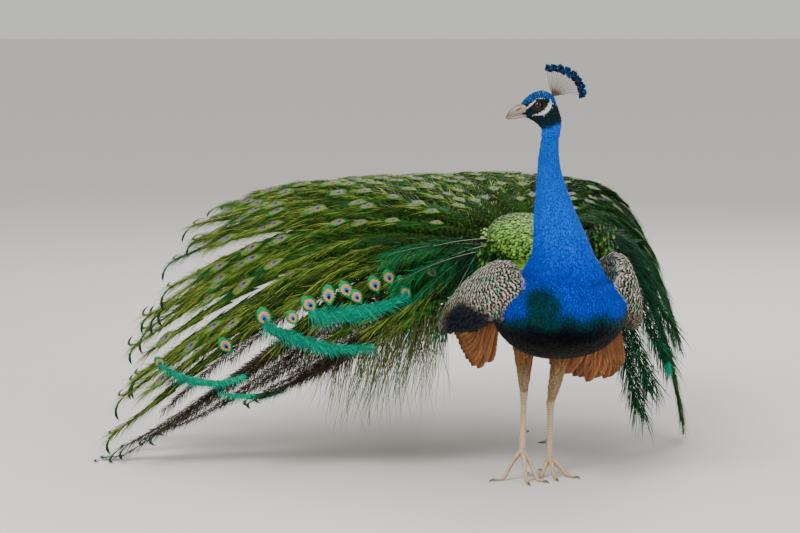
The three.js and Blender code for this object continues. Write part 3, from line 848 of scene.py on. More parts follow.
@dataclass(frozen=True)
class EyedFeathering:
    """The finish of a train feather's end, whose eye is drawn from the vane's own map.

    Attributes:
        name: The material's name.
        centre: How far along the vane the eye lies.
        long: How long the eye is for its width.
    """

    name: str
    centre: float = 0.5
    long: float = 1.25

    def material(self) -> bpy.types.Material:
        """The finish as a material."""
        paint = Paint(self.name, Metallic=0.15, Roughness=0.55, Specular_IOR_Level=0.15)
        across, along, _ = paint.split(paint.colour("vane"))
        size = paint.number("eye_size")
        x = (across - 0.5) / size
        y = (along - self.centre) * self.long / size
        wobble = (paint.noise(300, 2) - 0.5) * 0.05
        far = (x * x + y * y) ** 0.5 + wobble
        heart = ((x * x) * 1.2 + (y + 0.09) * (y + 0.09)) ** 0.5 - x.math("ABSOLUTE") * 0.22 + wobble * 0.5
        eye = paint.ramp(
            far,
            (
                (0.0, linear(4, 70, 190)),
                (0.12, linear(4, 110, 210)),
                (0.165, linear(20, 150, 170)),
                (0.19, linear(190, 120, 84)),
                (0.31, linear(222, 158, 118)),
                (0.35, linear(170, 150, 70)),
                (0.385, linear(70, 150, 80)),
                (0.46, linear(20, 130, 80)),
            ),
            smooth=False,
        )
        near = paint.number("tone").rise(0.9, 1.0)
        dusk = paint.mix(near, linear(150, 104, 62), linear(255, 255, 255))
        eye = paint.mix(far.rise(0.175, 0.19) * (1 - far.rise(0.325, 0.35)) * (1 - near), eye, dusk)
        eye = paint.mix(1 - heart.rise(0.09, 0.11), eye, linear(8, 10, 60))
        streak = (
            (along * 34 - (across - 0.5).math("ABSOLUTE") * 22) * (2 * math.pi)
        ).math("SINE") * 0.5 + 0.5
        web = paint.scaled(paint.colour("tint"), (0.45 + 0.9 * streak) * (0.7 + 0.6 * paint.number("tone")))
        colour = paint.mix(far.rise(0.44, 0.5), eye, web)
        return paint.finished(paint.scaled(colour, 0.82 + 0.3 * streak), streak, 0.0002)


@dataclass(frozen=True)
class QuillVane:
    """The finish of a large flight feather.

    Attributes:
        name: The material's name.
        body: The colour of the vane.
        edge: The colour towards the rim and tip.
        shaft: The colour of the shaft.
        metallic: How metallic the sheen is.
    """

    name: str
    body: np.ndarray
    edge: np.ndarray
    shaft: np.ndarray
    metallic: float = 0.0

    def material(self) -> bpy.types.Material:
        """The finish as a material."""
        paint = Paint(self.name, Metallic=self.metallic, Roughness=0.5)
        across, along, _ = paint.split(paint.colour("vane"))
        side = (across - 0.5).math("ABSOLUTE") * 2
        worn = (side * 0.6 + along * 0.4 + (paint.noise(60, 3) - 0.5) * 0.5).rise(0.45, 0.95)
        colour = paint.mix(worn, self.body, self.edge)
        barbs = ((along * 120 - side * 18) * (2 * math.pi)).math("SINE") * 0.5 + 0.5
        split = paint.noise(
            14, 2, paint.combined(along * 9 - side * 1.6, side * 0.2, paint.number("tone") * 30)
        )
        light = (0.72 + 0.24 * barbs + 0.5 * (split - 0.5)) * (0.75 + 0.5 * paint.number("tone"))
        colour = paint.mix(1 - side.rise(0.03, 0.07), paint.scaled(colour, light), self.shaft)
        return paint.finished(colour, barbs + split, 0.0004)


@dataclass(frozen=True)
class TintedFinish:
    """A plain grown surface that carries its own tint, with pores or scales as bump.

    Attributes:
        name: The material's name.
        roughness: How dull it is.
        metallic: How metallic its sheen is.
        cells: Scales to the metre, or 0 for fine grain only.
        grain: Scale of the grain.
        depth: How deep the bump is, in metres.
        mottle: How much the colour wanders.
        light: How bright it is for its tint.
        shine: How strong its dull reflections are.
    """

    name: str
    roughness: float = 0.5
    metallic: float = 0.0
    cells: float = 0.0
    grain: float = 500.0
    depth: float = 0.0003
    mottle: float = 0.3
    light: float = 1.0
    shine: float = 0.5

    def material(self) -> bpy.types.Material:
        """The finish as a material."""
        paint = Paint(
            self.name, Metallic=self.metallic, Roughness=self.roughness, Specular_IOR_Level=self.shine
        )
        grain = paint.noise(self.grain, 3)
        light = (1 - self.mottle / 2 + self.mottle * paint.noise(self.grain / 9, 2)) * self.light
        bump = grain
        if self.cells:
            at = paint.node("ShaderNodeTexCoord").outputs["Object"]
            settings = {"feature": "DISTANCE_TO_EDGE"}
            cell = paint.node(
                "ShaderNodeTexVoronoi", settings, Vector=at, Scale=self.cells
            ).outputs["Distance"]
            plate = Signal(paint, cell).rise(0.0, 0.16)
            light, bump = light * (0.72 + 0.28 * plate), plate + grain * 0.3
        return paint.finished(paint.scaled(paint.colour("tint"), light), bump, self.depth)


@dataclass(frozen=True)
class WetEye:
    """A dark brown iris round a black pupil under a clear wet front."""

    name: str = "eye_wet"

    def material(self) -> bpy.types.Material:
        """The finish as a material."""
        paint = Paint(self.name, Roughness=0.05, Specular_IOR_Level=0.35)
        ring = paint.number("ring")
        fibres = (paint.noise(900, 2) - 0.5) * 0.05
        stops = (
            (0.0, linear(3, 2, 2)),
            (0.30, linear(4, 3, 3)),
            (0.34, linear(44, 24, 12)),
            (0.46, linear(70, 42, 22)),
            (0.56, linear(38, 20, 11)),
            (0.60, linear(10, 6, 5)),
            (0.7, linear(16, 9, 8)),
        )
        return paint.finished(paint.ramp(ring + fibres, stops, smooth=False))


# ---------------------------------------------------------------------------------------------
# The bird's main directions, its place in the frame, and the studio
# ---------------------------------------------------------------------------------------------
YAW = math.radians(15)
HEADING = np.array([math.sin(YAW), -math.cos(YAW), 0])
LEFTWARD = np.array([math.cos(YAW), math.sin(YAW), 0])
TRUNK_MIDDLE = np.array([0.032, -0.040, 0])
HEAD_MIDDLE = -0.140
EYE_AT = (-0.006, 0.7585)
EYE_RADIUS = 0.0082
EYE_BULGE = 0.0015


def on_body(ahead: np.ndarray, left: np.ndarray, height: np.ndarray) -> np.ndarray:
    """Points given by their place ahead of the trunk's middle, to its left, and over the floor."""
    ahead, left, height = (
        np.asarray(each, float)[..., None] for each in np.broadcast_arrays(ahead, left, height)
    )
    return TRUNK_MIDDLE + HEADING * ahead + LEFTWARD * left + UP * height


class Frame:
    """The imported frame: where the bird's own axes lie in it, and the pieces that ride on it."""

    def __init__(self) -> None:
        """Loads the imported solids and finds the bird's axes from its two eyes."""
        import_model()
        self.solid_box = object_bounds()
        eyes = [sum(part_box(name), Vector()) / 2 for name in ("eye_right", "eye_left")]
        self.offset = np.array(sum(eyes, Vector()) / 2) - (EYE_AT[0], HEAD_MIDDLE, EYE_AT[1])

    def settle(self, piece: bpy.types.Object, slot: str, material: bpy.types.Material, *nodes: str) -> None:
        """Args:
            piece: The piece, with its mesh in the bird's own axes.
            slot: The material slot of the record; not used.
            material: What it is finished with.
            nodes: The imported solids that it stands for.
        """
        mesh = piece.data
        co = np.empty(len(mesh.vertices) * 3, np.float32)
        mesh.vertices.foreach_get("co", co)
        mesh.vertices.foreach_set("co", (co.reshape(-1, 3) + self.offset.astype(np.float32)).ravel())
        mesh.update()
        mesh.materials.clear()
        mesh.materials.append(material)
        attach(piece, BODY)
        if nodes:
            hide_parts(*nodes)
        faces = sum(len(polygon.vertices) - 2 for polygon in mesh.polygons)
        LOG.info("%s: %d triangles", piece.name, faces)

    def write_size(self) -> None:
        """Gathers the box of the solids and the box of the finished bird; nothing is written."""
        boxes = {
            "solids": [list(corner) for corner in self.solid_box],
            "finished": [list(corner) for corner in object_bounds()],
        }


@dataclass
class Studio:
    """A pale floor, soft light and the camera."""

    lens: float = 135
    elevation: float = math.radians(6)
    distance: float = 6.0
    target: tuple[float, float, float] = (-0.274, 0, 0.4285)
    floor_size: float = 60.0

    def build(self, frame: Frame) -> None:
        """Places the camera, the floor and the lamps."""
        target = Vector(self.target) + Vector(frame.offset)
        back = Vector((0, -math.cos(self.elevation), math.sin(self.elevation)))
        camera = bpy.data.objects.new("camera", bpy.data.cameras.new("camera"))
        camera.data.lens = self.lens
        camera.data.clip_end = 200
        camera.location = target + back * self.distance
        camera.rotation_euler = back.to_track_quat("Z", "Y").to_euler()
        bpy.context.scene.collection.objects.link(camera)
        bpy.context.scene.camera = camera
        self.floor()
        self.world()
        middle = Vector(frame.offset) + Vector((-0.1, 0.1, 0.4))
        self.lamp("key_lamp", middle, Vector((-2.2, -3.4, 3.6)), 2.2, 230)
        self.lamp("fill_lamp", middle, Vector((3.4, -3.0, 1.8)), 3.0, 70)
        self.lamp("rim_lamp", middle, Vector((1.0, 3.6, 3.2)), 2.4, 110)

    def floor(self) -> None:
        """The floor, level with the bird's feet."""
        half = self.floor_size / 2
        corners = np.array([[-half, -half, 0], [half, -half, 0], [half, half, 0], [-half, half, 0]])
        floor = Shape(corners, np.array([[0, 1, 2, 3]])).made("floor")
        paint = Paint("floor_paint", Roughness=0.9)
        floor.data.materials.append(paint.finished((0.80, 0.78, 0.74, 1)))
        floor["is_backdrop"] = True

    def world(self) -> None:
        """An even pale surrounding light."""
        world = bpy.data.worlds.new("surroundings")
        world.use_nodes = True
        shade = next(node for node in world.node_tree.nodes if node.type == "BACKGROUND")
        shade.inputs["Color"].default_value = (0.93, 0.92, 0.90, 1)
        shade.inputs["Strength"].default_value = 0.75
        bpy.context.scene.world = world

    def lamp(self, name: str, middle: Vector, away: Vector, size: float, power: float) -> None:
        """A square soft lamp that faces the bird."""
        light = bpy.data.lights.new(name, "AREA")
        light.size, light.energy = size, power
        lamp = bpy.data.objects.new(name, light)
        lamp.location = middle + away
        lamp.rotation_euler = away.to_track_quat("Z", "Y").to_euler()
        bpy.context.scene.collection.objects.link(lamp)


# ---------------------------------------------------------------------------------------------
# Skin and coat
# ---------------------------------------------------------------------------------------------
class Region(Enum):
    """The parts of the skin, each with its own coat."""

    TRUNK = 0
    NECK = 1
    HEAD = 2
    WING_RIGHT = 3
    WING_LEFT = 4
    THIGH_RIGHT = 5
    THIGH_LEFT = 6
    SADDLE = 7


BLUE_BRIGHT = linear(2, 112, 246)
BLUE_DEEP = linear(4, 78, 214)
TEAL_DARK = linear(4, 70, 58)
NAVY = linear(4, 20, 50)
BLACK = linear(3, 4, 8)
FACE_GREEN = linear(10, 46, 52)
CROWN_BLUE = linear(30, 92, 172)
BARB_GREEN = linear(28, 120, 48)
WHITE_SKIN = linear(226, 230, 226)
CREAM = linear(206, 198, 178)
SCALE_GREEN = linear(150, 208, 84)
SCALE_BRONZE = linear(74, 84, 34)
THIGH_BROWN = linear(150, 104, 58)
THIGH_PALE = linear(196, 168, 128)


@dataclass
class Trunk:
    """The body under the feathers."""

    inset: float = 0.007
    stations: Rows = (
        (-232, 424, 8, 8, 8),
        (-222, 422, 32, 24, 22),
        (-190, 414, 62, 44, 44),
        (-140, 398, 92, 58, 72),
        (-80, 380, 118, 76, 98),
        (-20, 368, 134, 88, 112),
        (40, 361, 141, 94, 114),
        (90, 358, 129, 88, 100),
        (125, 354, 100, 68, 78),
        (144, 350, 62, 44, 50),
        (152, 348, 14, 10, 12),
    )

    def shape(self) -> Shape:
        """The trunk inside its coat."""
        turn = np.linspace(0, np.pi, 64)
        ahead = -40 - (192 - self.inset * 1000) * np.cos(turn)
        height, half, above, below = read_rows(self.stations, ahead).T * MM
        half, above, below = (np.maximum(each - self.inset, 0.002) for each in (half, above, below))
        middles = on_body(ahead * MM, 0, height)
        across, up, down = LEFTWARD * half[:, None], UP * above[:, None], -UP * below[:, None]
        return skin_over(ovals(middles, across, up, down, 72, (1.6, 2.2)))


@dataclass
class Neck:
    """The long neck, from inside the head down into the breast."""

    inset: float = 0.004
    stations: Rows = (
        (384, 50, -84, 80, 66),
        (410, 49, -92, 88, 72),
        (443, 47, -98, 76, 70),
        (461, 46, -102, 66, 64),
        (494, 41, -105, 57, 54),
        (533, 32, -109, 48, 44),
        (586, 23, -117, 36, 34),
        (633, 17, -127, 27, 26.5),
        (665, 16, -134, 22.5, 22),
        (699.6, 18.5, -140, 19, 17),
        (722, 19.5, -140, 15, 14),
    )

    def shape(self) -> Shape:
        """The neck inside its coat."""
        height = np.linspace(384, 722, 110)
        x, y, half_width, half_depth = read_rows(self.stations, height).T * MM
        middles = np.stack([x, y, height * MM], 1)
        inset = self.inset * (1 - 0.45 * smoothstep(620, 700, height))
        across = np.array([1.0, 0, 0]) * (half_width - inset)[:, None]
        back = np.array([0, 1.0, 0]) * (half_depth - inset)[:, None]
        return skin_over(ovals(middles, across, back, -back, 64))


@dataclass
class Wing:
    """The shoulder and coverts of a folded wing; side is 1 for the bird's left and -1 for its right."""

    side: int
    stations: Rows
    inset: float = 0.005

    def shape(self) -> Shape:
        """The wing inside its coverts."""
        first, last = self.stations[0][0], self.stations[-1][0]
        ahead = (first + last) / 2 + ((first - last) / 2 - 4) * np.cos(np.linspace(0, np.pi, 56))
        rows = tuple(sorted(self.stations))
        outward, height, half, thick, lean = read_rows(rows, ahead).T
        lean = np.radians(lean)
        inset = self.inset * 1000
        half, thick = np.maximum(half - inset, 2) * MM, np.maximum(thick - inset, 1.5) * MM
        over = -LEFTWARD * (self.side * np.sin(lean) * half)[:, None] + UP * (np.cos(lean) * half)[:, None]
        across = (
            LEFTWARD * (self.side * np.cos(lean) * thick)[:, None] + UP * (np.sin(lean) * thick)[:, None]
        )
        middles = on_body(ahead * MM, self.side * outward * MM, height * MM)
        return skin_over(ovals(middles, across, over, -over, 48))


@dataclass
class Thigh:
    """A feathered thigh from the hip to the hock."""

    hip: tuple[float, float, float]
    hock: tuple[float, float, float]
    inset: float = 0.004

    def shape(self) -> Shape:
        """The thigh inside its feathers."""
        t = np.linspace(0, 1, 40)
        path = np.outer(1 - t, self.hip) * MM + np.outer(t, self.hock) * MM
        radius = 0.0086 + 0.0164 * (1 - t) ** 0.8 - self.inset * (1 - 0.6 * t)
        return skin_over(limb(path, np.stack([radius, radius * 1.25], 1), 36))


@dataclass
class Saddle:
    """The raised rump that the train grows from."""

    inset: float = 0.006
    middle: tuple[float, float, float] = (-0.014, 0.092, 0.474)
    half_length: float = 0.100
    half_width: float = 0.088
    half_height: float = 0.042
    tilt: float = math.radians(22)

    def shape(self) -> Shape:
        """The rump inside its coat."""
        back = outwards(np.array(15.0))
        along = back * math.cos(self.tilt) + UP * math.sin(self.tilt)
        side = unit(np.cross(back, UP))
        over = np.cross(side, along)
        turn = np.linspace(0.03, 0.97, 48) * np.pi
        middles = np.array(self.middle) - along * ((self.half_length - self.inset) * np.cos(turn))[:, None]
        across = side * ((self.half_width - self.inset) * np.sin(turn))[:, None]
        above = over * ((self.half_height - self.inset) * np.sin(turn))[:, None]
        return skin_over(ovals(middles, across, above, -above, 64))


@dataclass
class Head:
    """The head, whose fine skin carries the lids and the bare patches."""

    inset: float = 0.0012
    rings: int = 150
    sides: int = 176
    stations: Rows = (
        (700, -0.4, 38, 17, 0),
        (710, 0.2, 39.2, 17, 0.02),
        (717, -3, 39.9, 17.4, 0.1),
        (725.5, -12, 40.2, 17.8, 0.3),
        (733, -25, 39.8, 18, 0.45),
        (738, -36, 38.6, 18, 0.52),
        (746, -39, 36, 18, 0.56),
        (755, -40, 33, 17.6, 0.56),
        (762, -40, 29.5, 16.8, 0.52),
        (768.5, -34.5, 27.6, 15.6, 0.42),
        (774.5, -28, 24.8, 13.4, 0.3),
        (779.5, -21, 20.5, 10.4, 0.2),
        (783.5, -13, 13, 6.6, 0.1),
        (786.2, -4, 3, 2, 0),
    )
    # the bare white patches beside each eye, as lines from the eye's middle with half widths
    stripe: Rows = ((-30.8, -11.2, 2.0), (-19, -2.0, 2.7), (-7.4, 8.8, 2.4))
    brow: Rows = ((-5.1, 11.9, 0.9), (1, 13.3, 1.0), (7.8, 13.4, 0.8))
    crescent: Rows = (
        (21.6, 10.4, 2.6),
        (22.2, 3.0, 4.3),
        (19.0, -5.0, 4.9),
        (11.3, -13.0, 4.1),
        (0, -16.4, 2.9),
        (-10.1, -17.9, 1.6),
    )

    def face_thickness(self, x: np.ndarray, z: np.ndarray) -> np.ndarray:
        """Half the head's thickness at a place of its side, in metres."""
        face, nape, half, narrowing = read_rows(self.stations, z / MM).T
        cosine = np.clip(2 * (x / MM - face) / (nape - face) - 1, -1, 1)
        return half * np.sqrt(1 - cosine**2) * (1 - narrowing * np.maximum(0, -cosine)) * MM

    def eye_middle(self, side: int) -> np.ndarray:
        """The middle of an eyeball; side is -1 on the side that faces -Y."""
        depth = float(self.face_thickness(np.array([EYE_AT[0]]), np.array([EYE_AT[1]]))[0])
        return np.array([EYE_AT[0], HEAD_MIDDLE + side * (depth + EYE_BULGE - EYE_RADIUS), EYE_AT[1]])

    def shape(self) -> Shape:
        """The head's skin, with an opening for each eye and lids round it."""
        height = 700 + 86.2 * np.sin(np.linspace(0, np.pi / 2, self.rings)) ** 1.25
        face, nape, half, narrowing = (each[:, None] for each in read_rows(self.stations, height).T)
        inset = self.inset / MM
        angle = 2 * np.pi * np.arange(self.sides)[None] / self.sides
        x = (face + inset) + (nape - face - 2 * inset) * (1 + np.cos(angle)) / 2
        narrow = 1 - narrowing * np.maximum(0, -np.cos(angle))
        y = (half - inset) * np.sin(angle) * narrow
        points = np.stack([x * MM, HEAD_MIDDLE + y * MM, height[:, None] * MM + 0 * x], -1)
        return self.lids(skin_over(points))

    def lids(self, shape: Shape) -> Shape:
        """Sinks the opening round each eyeball and raises the lids over it."""
        p = shape.points
        for side in (-1, 1):
            near = side * (p[:, 1] - HEAD_MIDDLE) > 0.002
            middle = self.eye_middle(side)
            far = self.opening(p)
            from_middle = np.hypot(p[:, 0] - middle[0], p[:, 2] - middle[2])
            ball = np.sqrt(np.maximum(EYE_RADIUS**2 - from_middle**2, 0))
            on_ball = middle[1] + side * ball
            # outside the opening the lid rests on the ball and rises to a soft ridge
            lid = on_ball + side * 0.0007
            ridge = np.exp(-(((far - 1.3) / 0.2) ** 2)) * 0.0011
            rest = smoothstep(1.0, 1.45, far)
            outer = lid * (1 - rest) + p[:, 1] * rest + side * ridge
            sunk = middle[1] + side * (ball * 0.25 - 0.001)
            inner = smoothstep(0.86, 1.0, far)
            wanted = np.where(far < 1, sunk * (1 - inner) + lid * inner, outer)
            p[:, 1] = np.where(near & (far < 2.2), wanted, p[:, 1])
        return shape

    @staticmethod
    def opening(p: np.ndarray) -> np.ndarray:
        """How far points of the head's side are from the eye's middle, where 1 is the lids' rim."""
        x, z = (p[:, 0] - EYE_AT[0]) / 0.0088, (p[:, 2] - EYE_AT[1] - 0.08 * (p[:, 0] - EYE_AT[0])) / 0.0070
        return (np.abs(x) ** 1.7 + np.abs(z) ** 1.9) ** (1 / 1.8)

    def bare(self, p: np.ndarray) -> np.ndarray:
        """How far points lie inside the bare white patches, from 0 to 1."""
        at = np.stack([p[:, 0] - EYE_AT[0], p[:, 2] - EYE_AT[1]], 1) / MM
        best = np.zeros(len(p))
        for line in (self.stripe, self.brow, self.crescent):
            rows = np.array(line)
            steps = np.linspace(0, len(rows) - 1, 60)
            keyed = np.column_stack([np.arange(len(rows)), rows])
            x, z, half = read_rows(keyed, steps).T
            gap = np.hypot(at[:, :1] - x, at[:, 1:] - z) / half
            best = np.maximum(best, 1 - smoothstep(0.8, 1.12, gap.min(axis=1)))
        return best * (np.abs(p[:, 1] - HEAD_MIDDLE) > 0.003)

    def tint(self, p: np.ndarray) -> np.ndarray:
        """The colour of the head at points of it."""
        x, z = p[:, 0] / MM, p[:, 2] / MM
        # blue begins lower at the front of the throat than at the nape
        border = 727 - 0.36 * (38 - x)
        base = mixed(BLUE_BRIGHT, FACE_GREEN, smoothstep(-6, 5, z - border))
        crown = smoothstep(
            -1.5, 3, z - np.interp(x, [-40, -14, 2, 14, 30, 40], [757, 769, 773, 770, 756, 736])
        )
        base = mixed(base, CROWN_BLUE, crown)
        lores = np.exp(-(((x + 24) / 9) ** 2 + ((z - 757) / 8) ** 2))
        base = mixed(base, linear(12, 22, 24), 0.8 * lores)
        base = mixed(base, linear(62, 48, 36), 1 - smoothstep(1.25, 1.6, self.opening(p)))
        return mixed(base, WHITE_SKIN, self.bare(p))


WING_RIGHT = (
    (96, 92, 392, 10, 8, 20),
    (84, 108, 388, 40, 20, 24),
    (40, 130, 384, 74, 30, 30),
    (-20, 146, 376, 84, 30, 32),
    (-80, 162, 358, 76, 26, 32),
    (-130, 176, 334, 52, 18, 28),
    (-168, 186, 310, 22, 9, 20),
    (-180, 188, 302, 5, 3, 20),
)
WING_LEFT = (
    (104, 98, 384, 10, 8, 10),
    (92, 116, 382, 42, 22, 12),
    (52, 138, 382, 76, 28, 14),
    (-10, 144, 380, 84, 28, 16),
    (-70, 142, 372, 74, 24, 17),
    (-130, 132, 364, 54, 17, 16),
    (-176, 122, 354, 26, 9, 14),
    (-192, 118, 348, 5, 3, 14),
)


@dataclass
class Skin:
    """One skin over the trunk, neck, head, wings, thighs and rump, and the coats that grow on it."""

    voxel: float = 0.004
    head: Head = field(default_factory=Head)

    def build(self) -> bpy.types.Object:
        """Joins the body's parts into one closed skin and marks it for the coats."""
        parts = {
            Region.TRUNK: Trunk().shape(),
            Region.NECK: Neck().shape(),
            Region.HEAD: self.head.shape(),
            Region.WING_RIGHT: Wing(-1, WING_RIGHT).shape(),
            Region.WING_LEFT: Wing(1, WING_LEFT).shape(),
            Region.THIGH_RIGHT: Thigh((-26, -6, 282), (-22, 74, 163)).shape(),
            Region.THIGH_LEFT: Thigh((58, 26, 282), (33, 92, 139)).shape(),
            Region.SADDLE: Saddle().shape(),
        }
        body = joined([shape for region, shape in parts.items() if region is not Region.HEAD]).made("skin")
        remesh = body.modifiers.new("one_surface", "REMESH")
        remesh.mode, remesh.voxel_size = "VOXEL", self.voxel
        even = body.modifiers.new("soft_joins", "SMOOTH")
        even.factor, even.iterations = 0.5, 14
        head = parts[Region.HEAD].made("head_skin")
        union = body.modifiers.new("head_on_neck", "BOOLEAN")
        union.operation, union.solver, union.object = "UNION", "EXACT", head
        mesh = plain_mesh(body, "skin")
        body.modifiers.clear()
        body.data = mesh
        bpy.data.objects.remove(head)
        for attribute in [
            each.name for each in mesh.attributes if not each.is_internal and not each.is_required
        ]:
            mesh.attributes.remove(mesh.attributes[attribute])
        self.mark(mesh, parts)
        return body

    def mark(self, mesh: bpy.types.Mesh, parts: dict[Region, Shape]) -> None:
        """Stores on the skin its tint, the lie and length of its feathers, and each coat's cover."""
        points = np.empty(len(mesh.vertices) * 3, np.float32)
        mesh.vertices.foreach_get("co", points)
        points = points.reshape(-1, 3).astype(float)
        region, place = self.nearest(points, parts)
        lie, tint, length, cover = (
            np.zeros((len(points), 3)),
            np.zeros((len(points), 3)),
            np.zeros(len(points)),
            np.ones(len(points)),
        )
        for kind in Region:
            here = region == kind.value
            if here.any():
                lie[here], tint[here], length[here], cover[here] = self.coat_at(kind, points[here])
        edges = np.empty(len(mesh.edges) * 2, np.int32)
        mesh.edges.foreach_get("vertices", edges)
        edges = edges.reshape(-1, 2)
        soft = region != Region.HEAD.value
        wing = np.isin(region, [Region.WING_RIGHT.value, Region.WING_LEFT.value])
        within = edges[wing[edges[:, 0]] == wing[edges[:, 1]]]
        for _ in range(8):
            lie = self.smoothed(lie, edges)
        for _ in range(6):
            tint = np.where(soft[:, None], self.smoothed(tint, within), tint)
            length = self.smoothed(length[:, None], edges)[:, 0]
        store(mesh, "lie", unit(lie))
        store(mesh, "tint", tint)
        store(mesh, "feather_length", length)
        ahead, low = (points - TRUNK_MIDDLE) @ HEADING, points[:, 2] < 0.30
        share = smoothstep(-0.02, 0.02, ahead) * (1 - 0.5 * low)
        quills = self.under_coverts(points, region)
        for name, regions in COATS.items():
            wanted = np.isin(region, [kind.value for kind in regions]).astype(float)
            wanted *= {
                "breast": share, "body": 1 - share, "quills": quills, "wings": 1 - quills
            }.get(name, 1)
            if name != "head":
                for _ in range(3):
                    wanted = self.smoothed(wanted[:, None], within)[:, 0]
                wanted = smoothstep(0.12, 0.5, wanted) * (region != Region.HEAD.value)
            if name in ("head", "neck"):
                throat = smoothstep(0.724, 0.714, points[:, 2]) * (region == Region.HEAD.value)
                wanted = wanted * (1 - throat) if name == "head" else np.maximum(wanted, throat)
            store(mesh, f"cover_{name}", wanted * cover)
        self.unwrap(mesh, region, place)

    @staticmethod
    def under_coverts(p: np.ndarray, region: np.ndarray) -> np.ndarray:
        """Where the dark quills show under the right wing's barred coverts, from 0 to 1."""
        line = np.interp(p[:, 0] / MM, [-205, -178, -150, -98, -72], [302, 334, 370, 362, 330]) * MM
        low = smoothstep(0.004, -0.004, p[:, 2] - line) * smoothstep(-0.2, -0.17, p[:, 0])
        return low * (region == Region.WING_RIGHT.value)

    @staticmethod
    def smoothed(values: np.ndarray, edges: np.ndarray) -> np.ndarray:
        """Each point's value averaged with its neighbours'."""
        total, count = values.copy(), np.ones(len(values))
        for a, b in ((0, 1), (1, 0)):
            count += np.bincount(edges[:, a], minlength=len(values))
            for column in range(values.shape[1]):
                total[:, column] += np.bincount(edges[:, a], values[edges[:, b], column], len(values))
        return total / count[:, None]

    @staticmethod
    def nearest(points: np.ndarray, parts: dict[Region, Shape]) -> tuple[np.ndarray, np.ndarray]:
        """The part of the body that each point lies on, and its place on that part's own rings."""
        best = np.full(len(points), 1.0)
        region, place = np.zeros(len(points), int), np.zeros((len(points), 2))
        for kind, shape in parts.items():
            low, high = shape.points.min(0) - 0.012, shape.points.max(0) + 0.012
            inside = np.flatnonzero(np.all((points > low) & (points < high), axis=1))
            faces = [*shape.quads.tolist(), *shape.triangles.tolist()]
            tree = BVHTree.FromPolygons([Vector(each) for each in shape.points], faces)
            around = shape.carried["place"]
            for index in inside:
                _, _, face, gap = tree.find_nearest(Vector(points[index]), min(best[index], 0.02))
                if face is None or gap >= best[index]:
                    continue
                corners = faces[face]
                weight = 1 / (np.linalg.norm(shape.points[corners] - points[index], axis=1) ** 2 + 1e-8)
                at = around[corners].copy()
                at[:, 0] += (at[:, 0].max() - at[:, 0]) > 0.5
                best[index], region[index] = gap, kind.value
                place[index] = weight @ at / weight.sum()
        return region, place

    @staticmethod
    def unwrap(mesh: bpy.types.Mesh, region: np.ndarray, place: np.ndarray) -> None:
        """Stores at each corner its place on an unwrap of the part that its face lies on."""
        corners = np.empty(len(mesh.loops), np.int32)
        mesh.loops.foreach_get("vertex_index", corners)
        sizes = np.empty(len(mesh.polygons), np.int32)
        mesh.polygons.foreach_get("loop_total", sizes)
        first = np.repeat(np.cumsum(sizes) - sizes, sizes)
        lead = corners[first]
        same = region[corners] == region[lead]
        at = np.where(same[:, None], place[corners], place[lead])
        turn = at[:, 0] - place[lead, 0]
        at[:, 0] -= np.round(turn)
        halves = {Region.WING_LEFT.value, Region.THIGH_LEFT.value}
        paired = halves | {Region.WING_RIGHT.value, Region.THIGH_RIGHT.value}
        pair = np.isin(region[lead], list(paired))
        at[:, 0] = np.where(
            pair, at[:, 0] * 0.48 + 0.5 * np.isin(region[lead], list(halves)), at[:, 0] * 0.96
        ) + 0.01
        values = np.column_stack([at[:, 0], 0.01 + 0.98 * at[:, 1], np.zeros(len(at))])
        stored = mesh.attributes.new("root_place", "FLOAT_VECTOR", "CORNER")
        stored.data.foreach_set("vector", values.astype(np.float32).ravel())

    def coat_at(self, kind: Region, p: np.ndarray) -> tuple[np.ndarray, np.ndarray, np.ndarray, np.ndarray]:
        """The lie, tint, length and cover of the feathers at points of one part."""
        zero = 0 * p
        offset = p - TRUNK_MIDDLE
        ahead, left, z = offset @ HEADING, offset @ LEFTWARD, p[:, 2]
        cover = np.ones(len(p))
        if kind is Region.HEAD:
            back = np.array([1.0, 0, -0.15]) + zero
            down = np.array([0.45, 0, -1.0]) + zero
            lie = mixed(down, back, smoothstep(0.742, 0.770, z))
            length = 0.0042 + 0.0024 * smoothstep(0.735, 0.705, z) + 0.0008 * smoothstep(0.755, 0.775, z)
            hidden = self.head.bare(p) > 0.35
            rim = self.head.opening(p) < 1.42
            bill = (p[:, 0] < -0.0345) & (z < 0.764) & (z > 0.729)
            cover[hidden | rim | bill] = 0
            return lie, self.head.tint(p), length, cover
        if kind is Region.NECK:
            lie = np.array([0.0, -0.18, -1.0]) + zero
            tint = mixed(BLUE_DEEP, BLUE_BRIGHT, smoothstep(0.40, 0.56, z))
            tint = mixed(tint, linear(2, 112, 232), smoothstep(0.60, 0.68, z))
            tint = mixed(tint, self.breast(ahead, left, z), smoothstep(0.46, 0.41, z))
            length = 0.0062 + 0.0058 * smoothstep(0.66, 0.44, z)
            return lie, tint, length, cover
        if kind in (Region.WING_RIGHT, Region.WING_LEFT):
            side = 1 if kind is Region.WING_LEFT else -1
            front = smoothstep(ahead.max() - 0.075, ahead.max() - 0.02, ahead)
            lie = mixed(-HEADING - UP * 0.42, LEFTWARD * side - UP * 0.45 - HEADING * 0.25, front)
            tint = mixed(CREAM, linear(128, 104, 74), 0.85 * smoothstep(0.40, 0.33, z))
            tint = mixed(tint, NAVY * 0.5, self.under_coverts(p, np.full(len(p), kind.value)))
            return lie, tint, 0.019 + 0.006 * smoothstep(0.05, -0.12, ahead), cover
        if kind in (Region.THIGH_RIGHT, Region.THIGH_LEFT):
            lie = np.array([0.0, 0.25, -1.0]) + zero
            tint = mixed(THIGH_PALE, THIGH_BROWN, smoothstep(0.18, 0.25, z))
            return lie, tint, 0.010 + 0.006 * smoothstep(0.2, 0.27, z), cover
        if kind is Region.SADDLE:
            away = p - np.array([0.02, -0.02, 0.44])
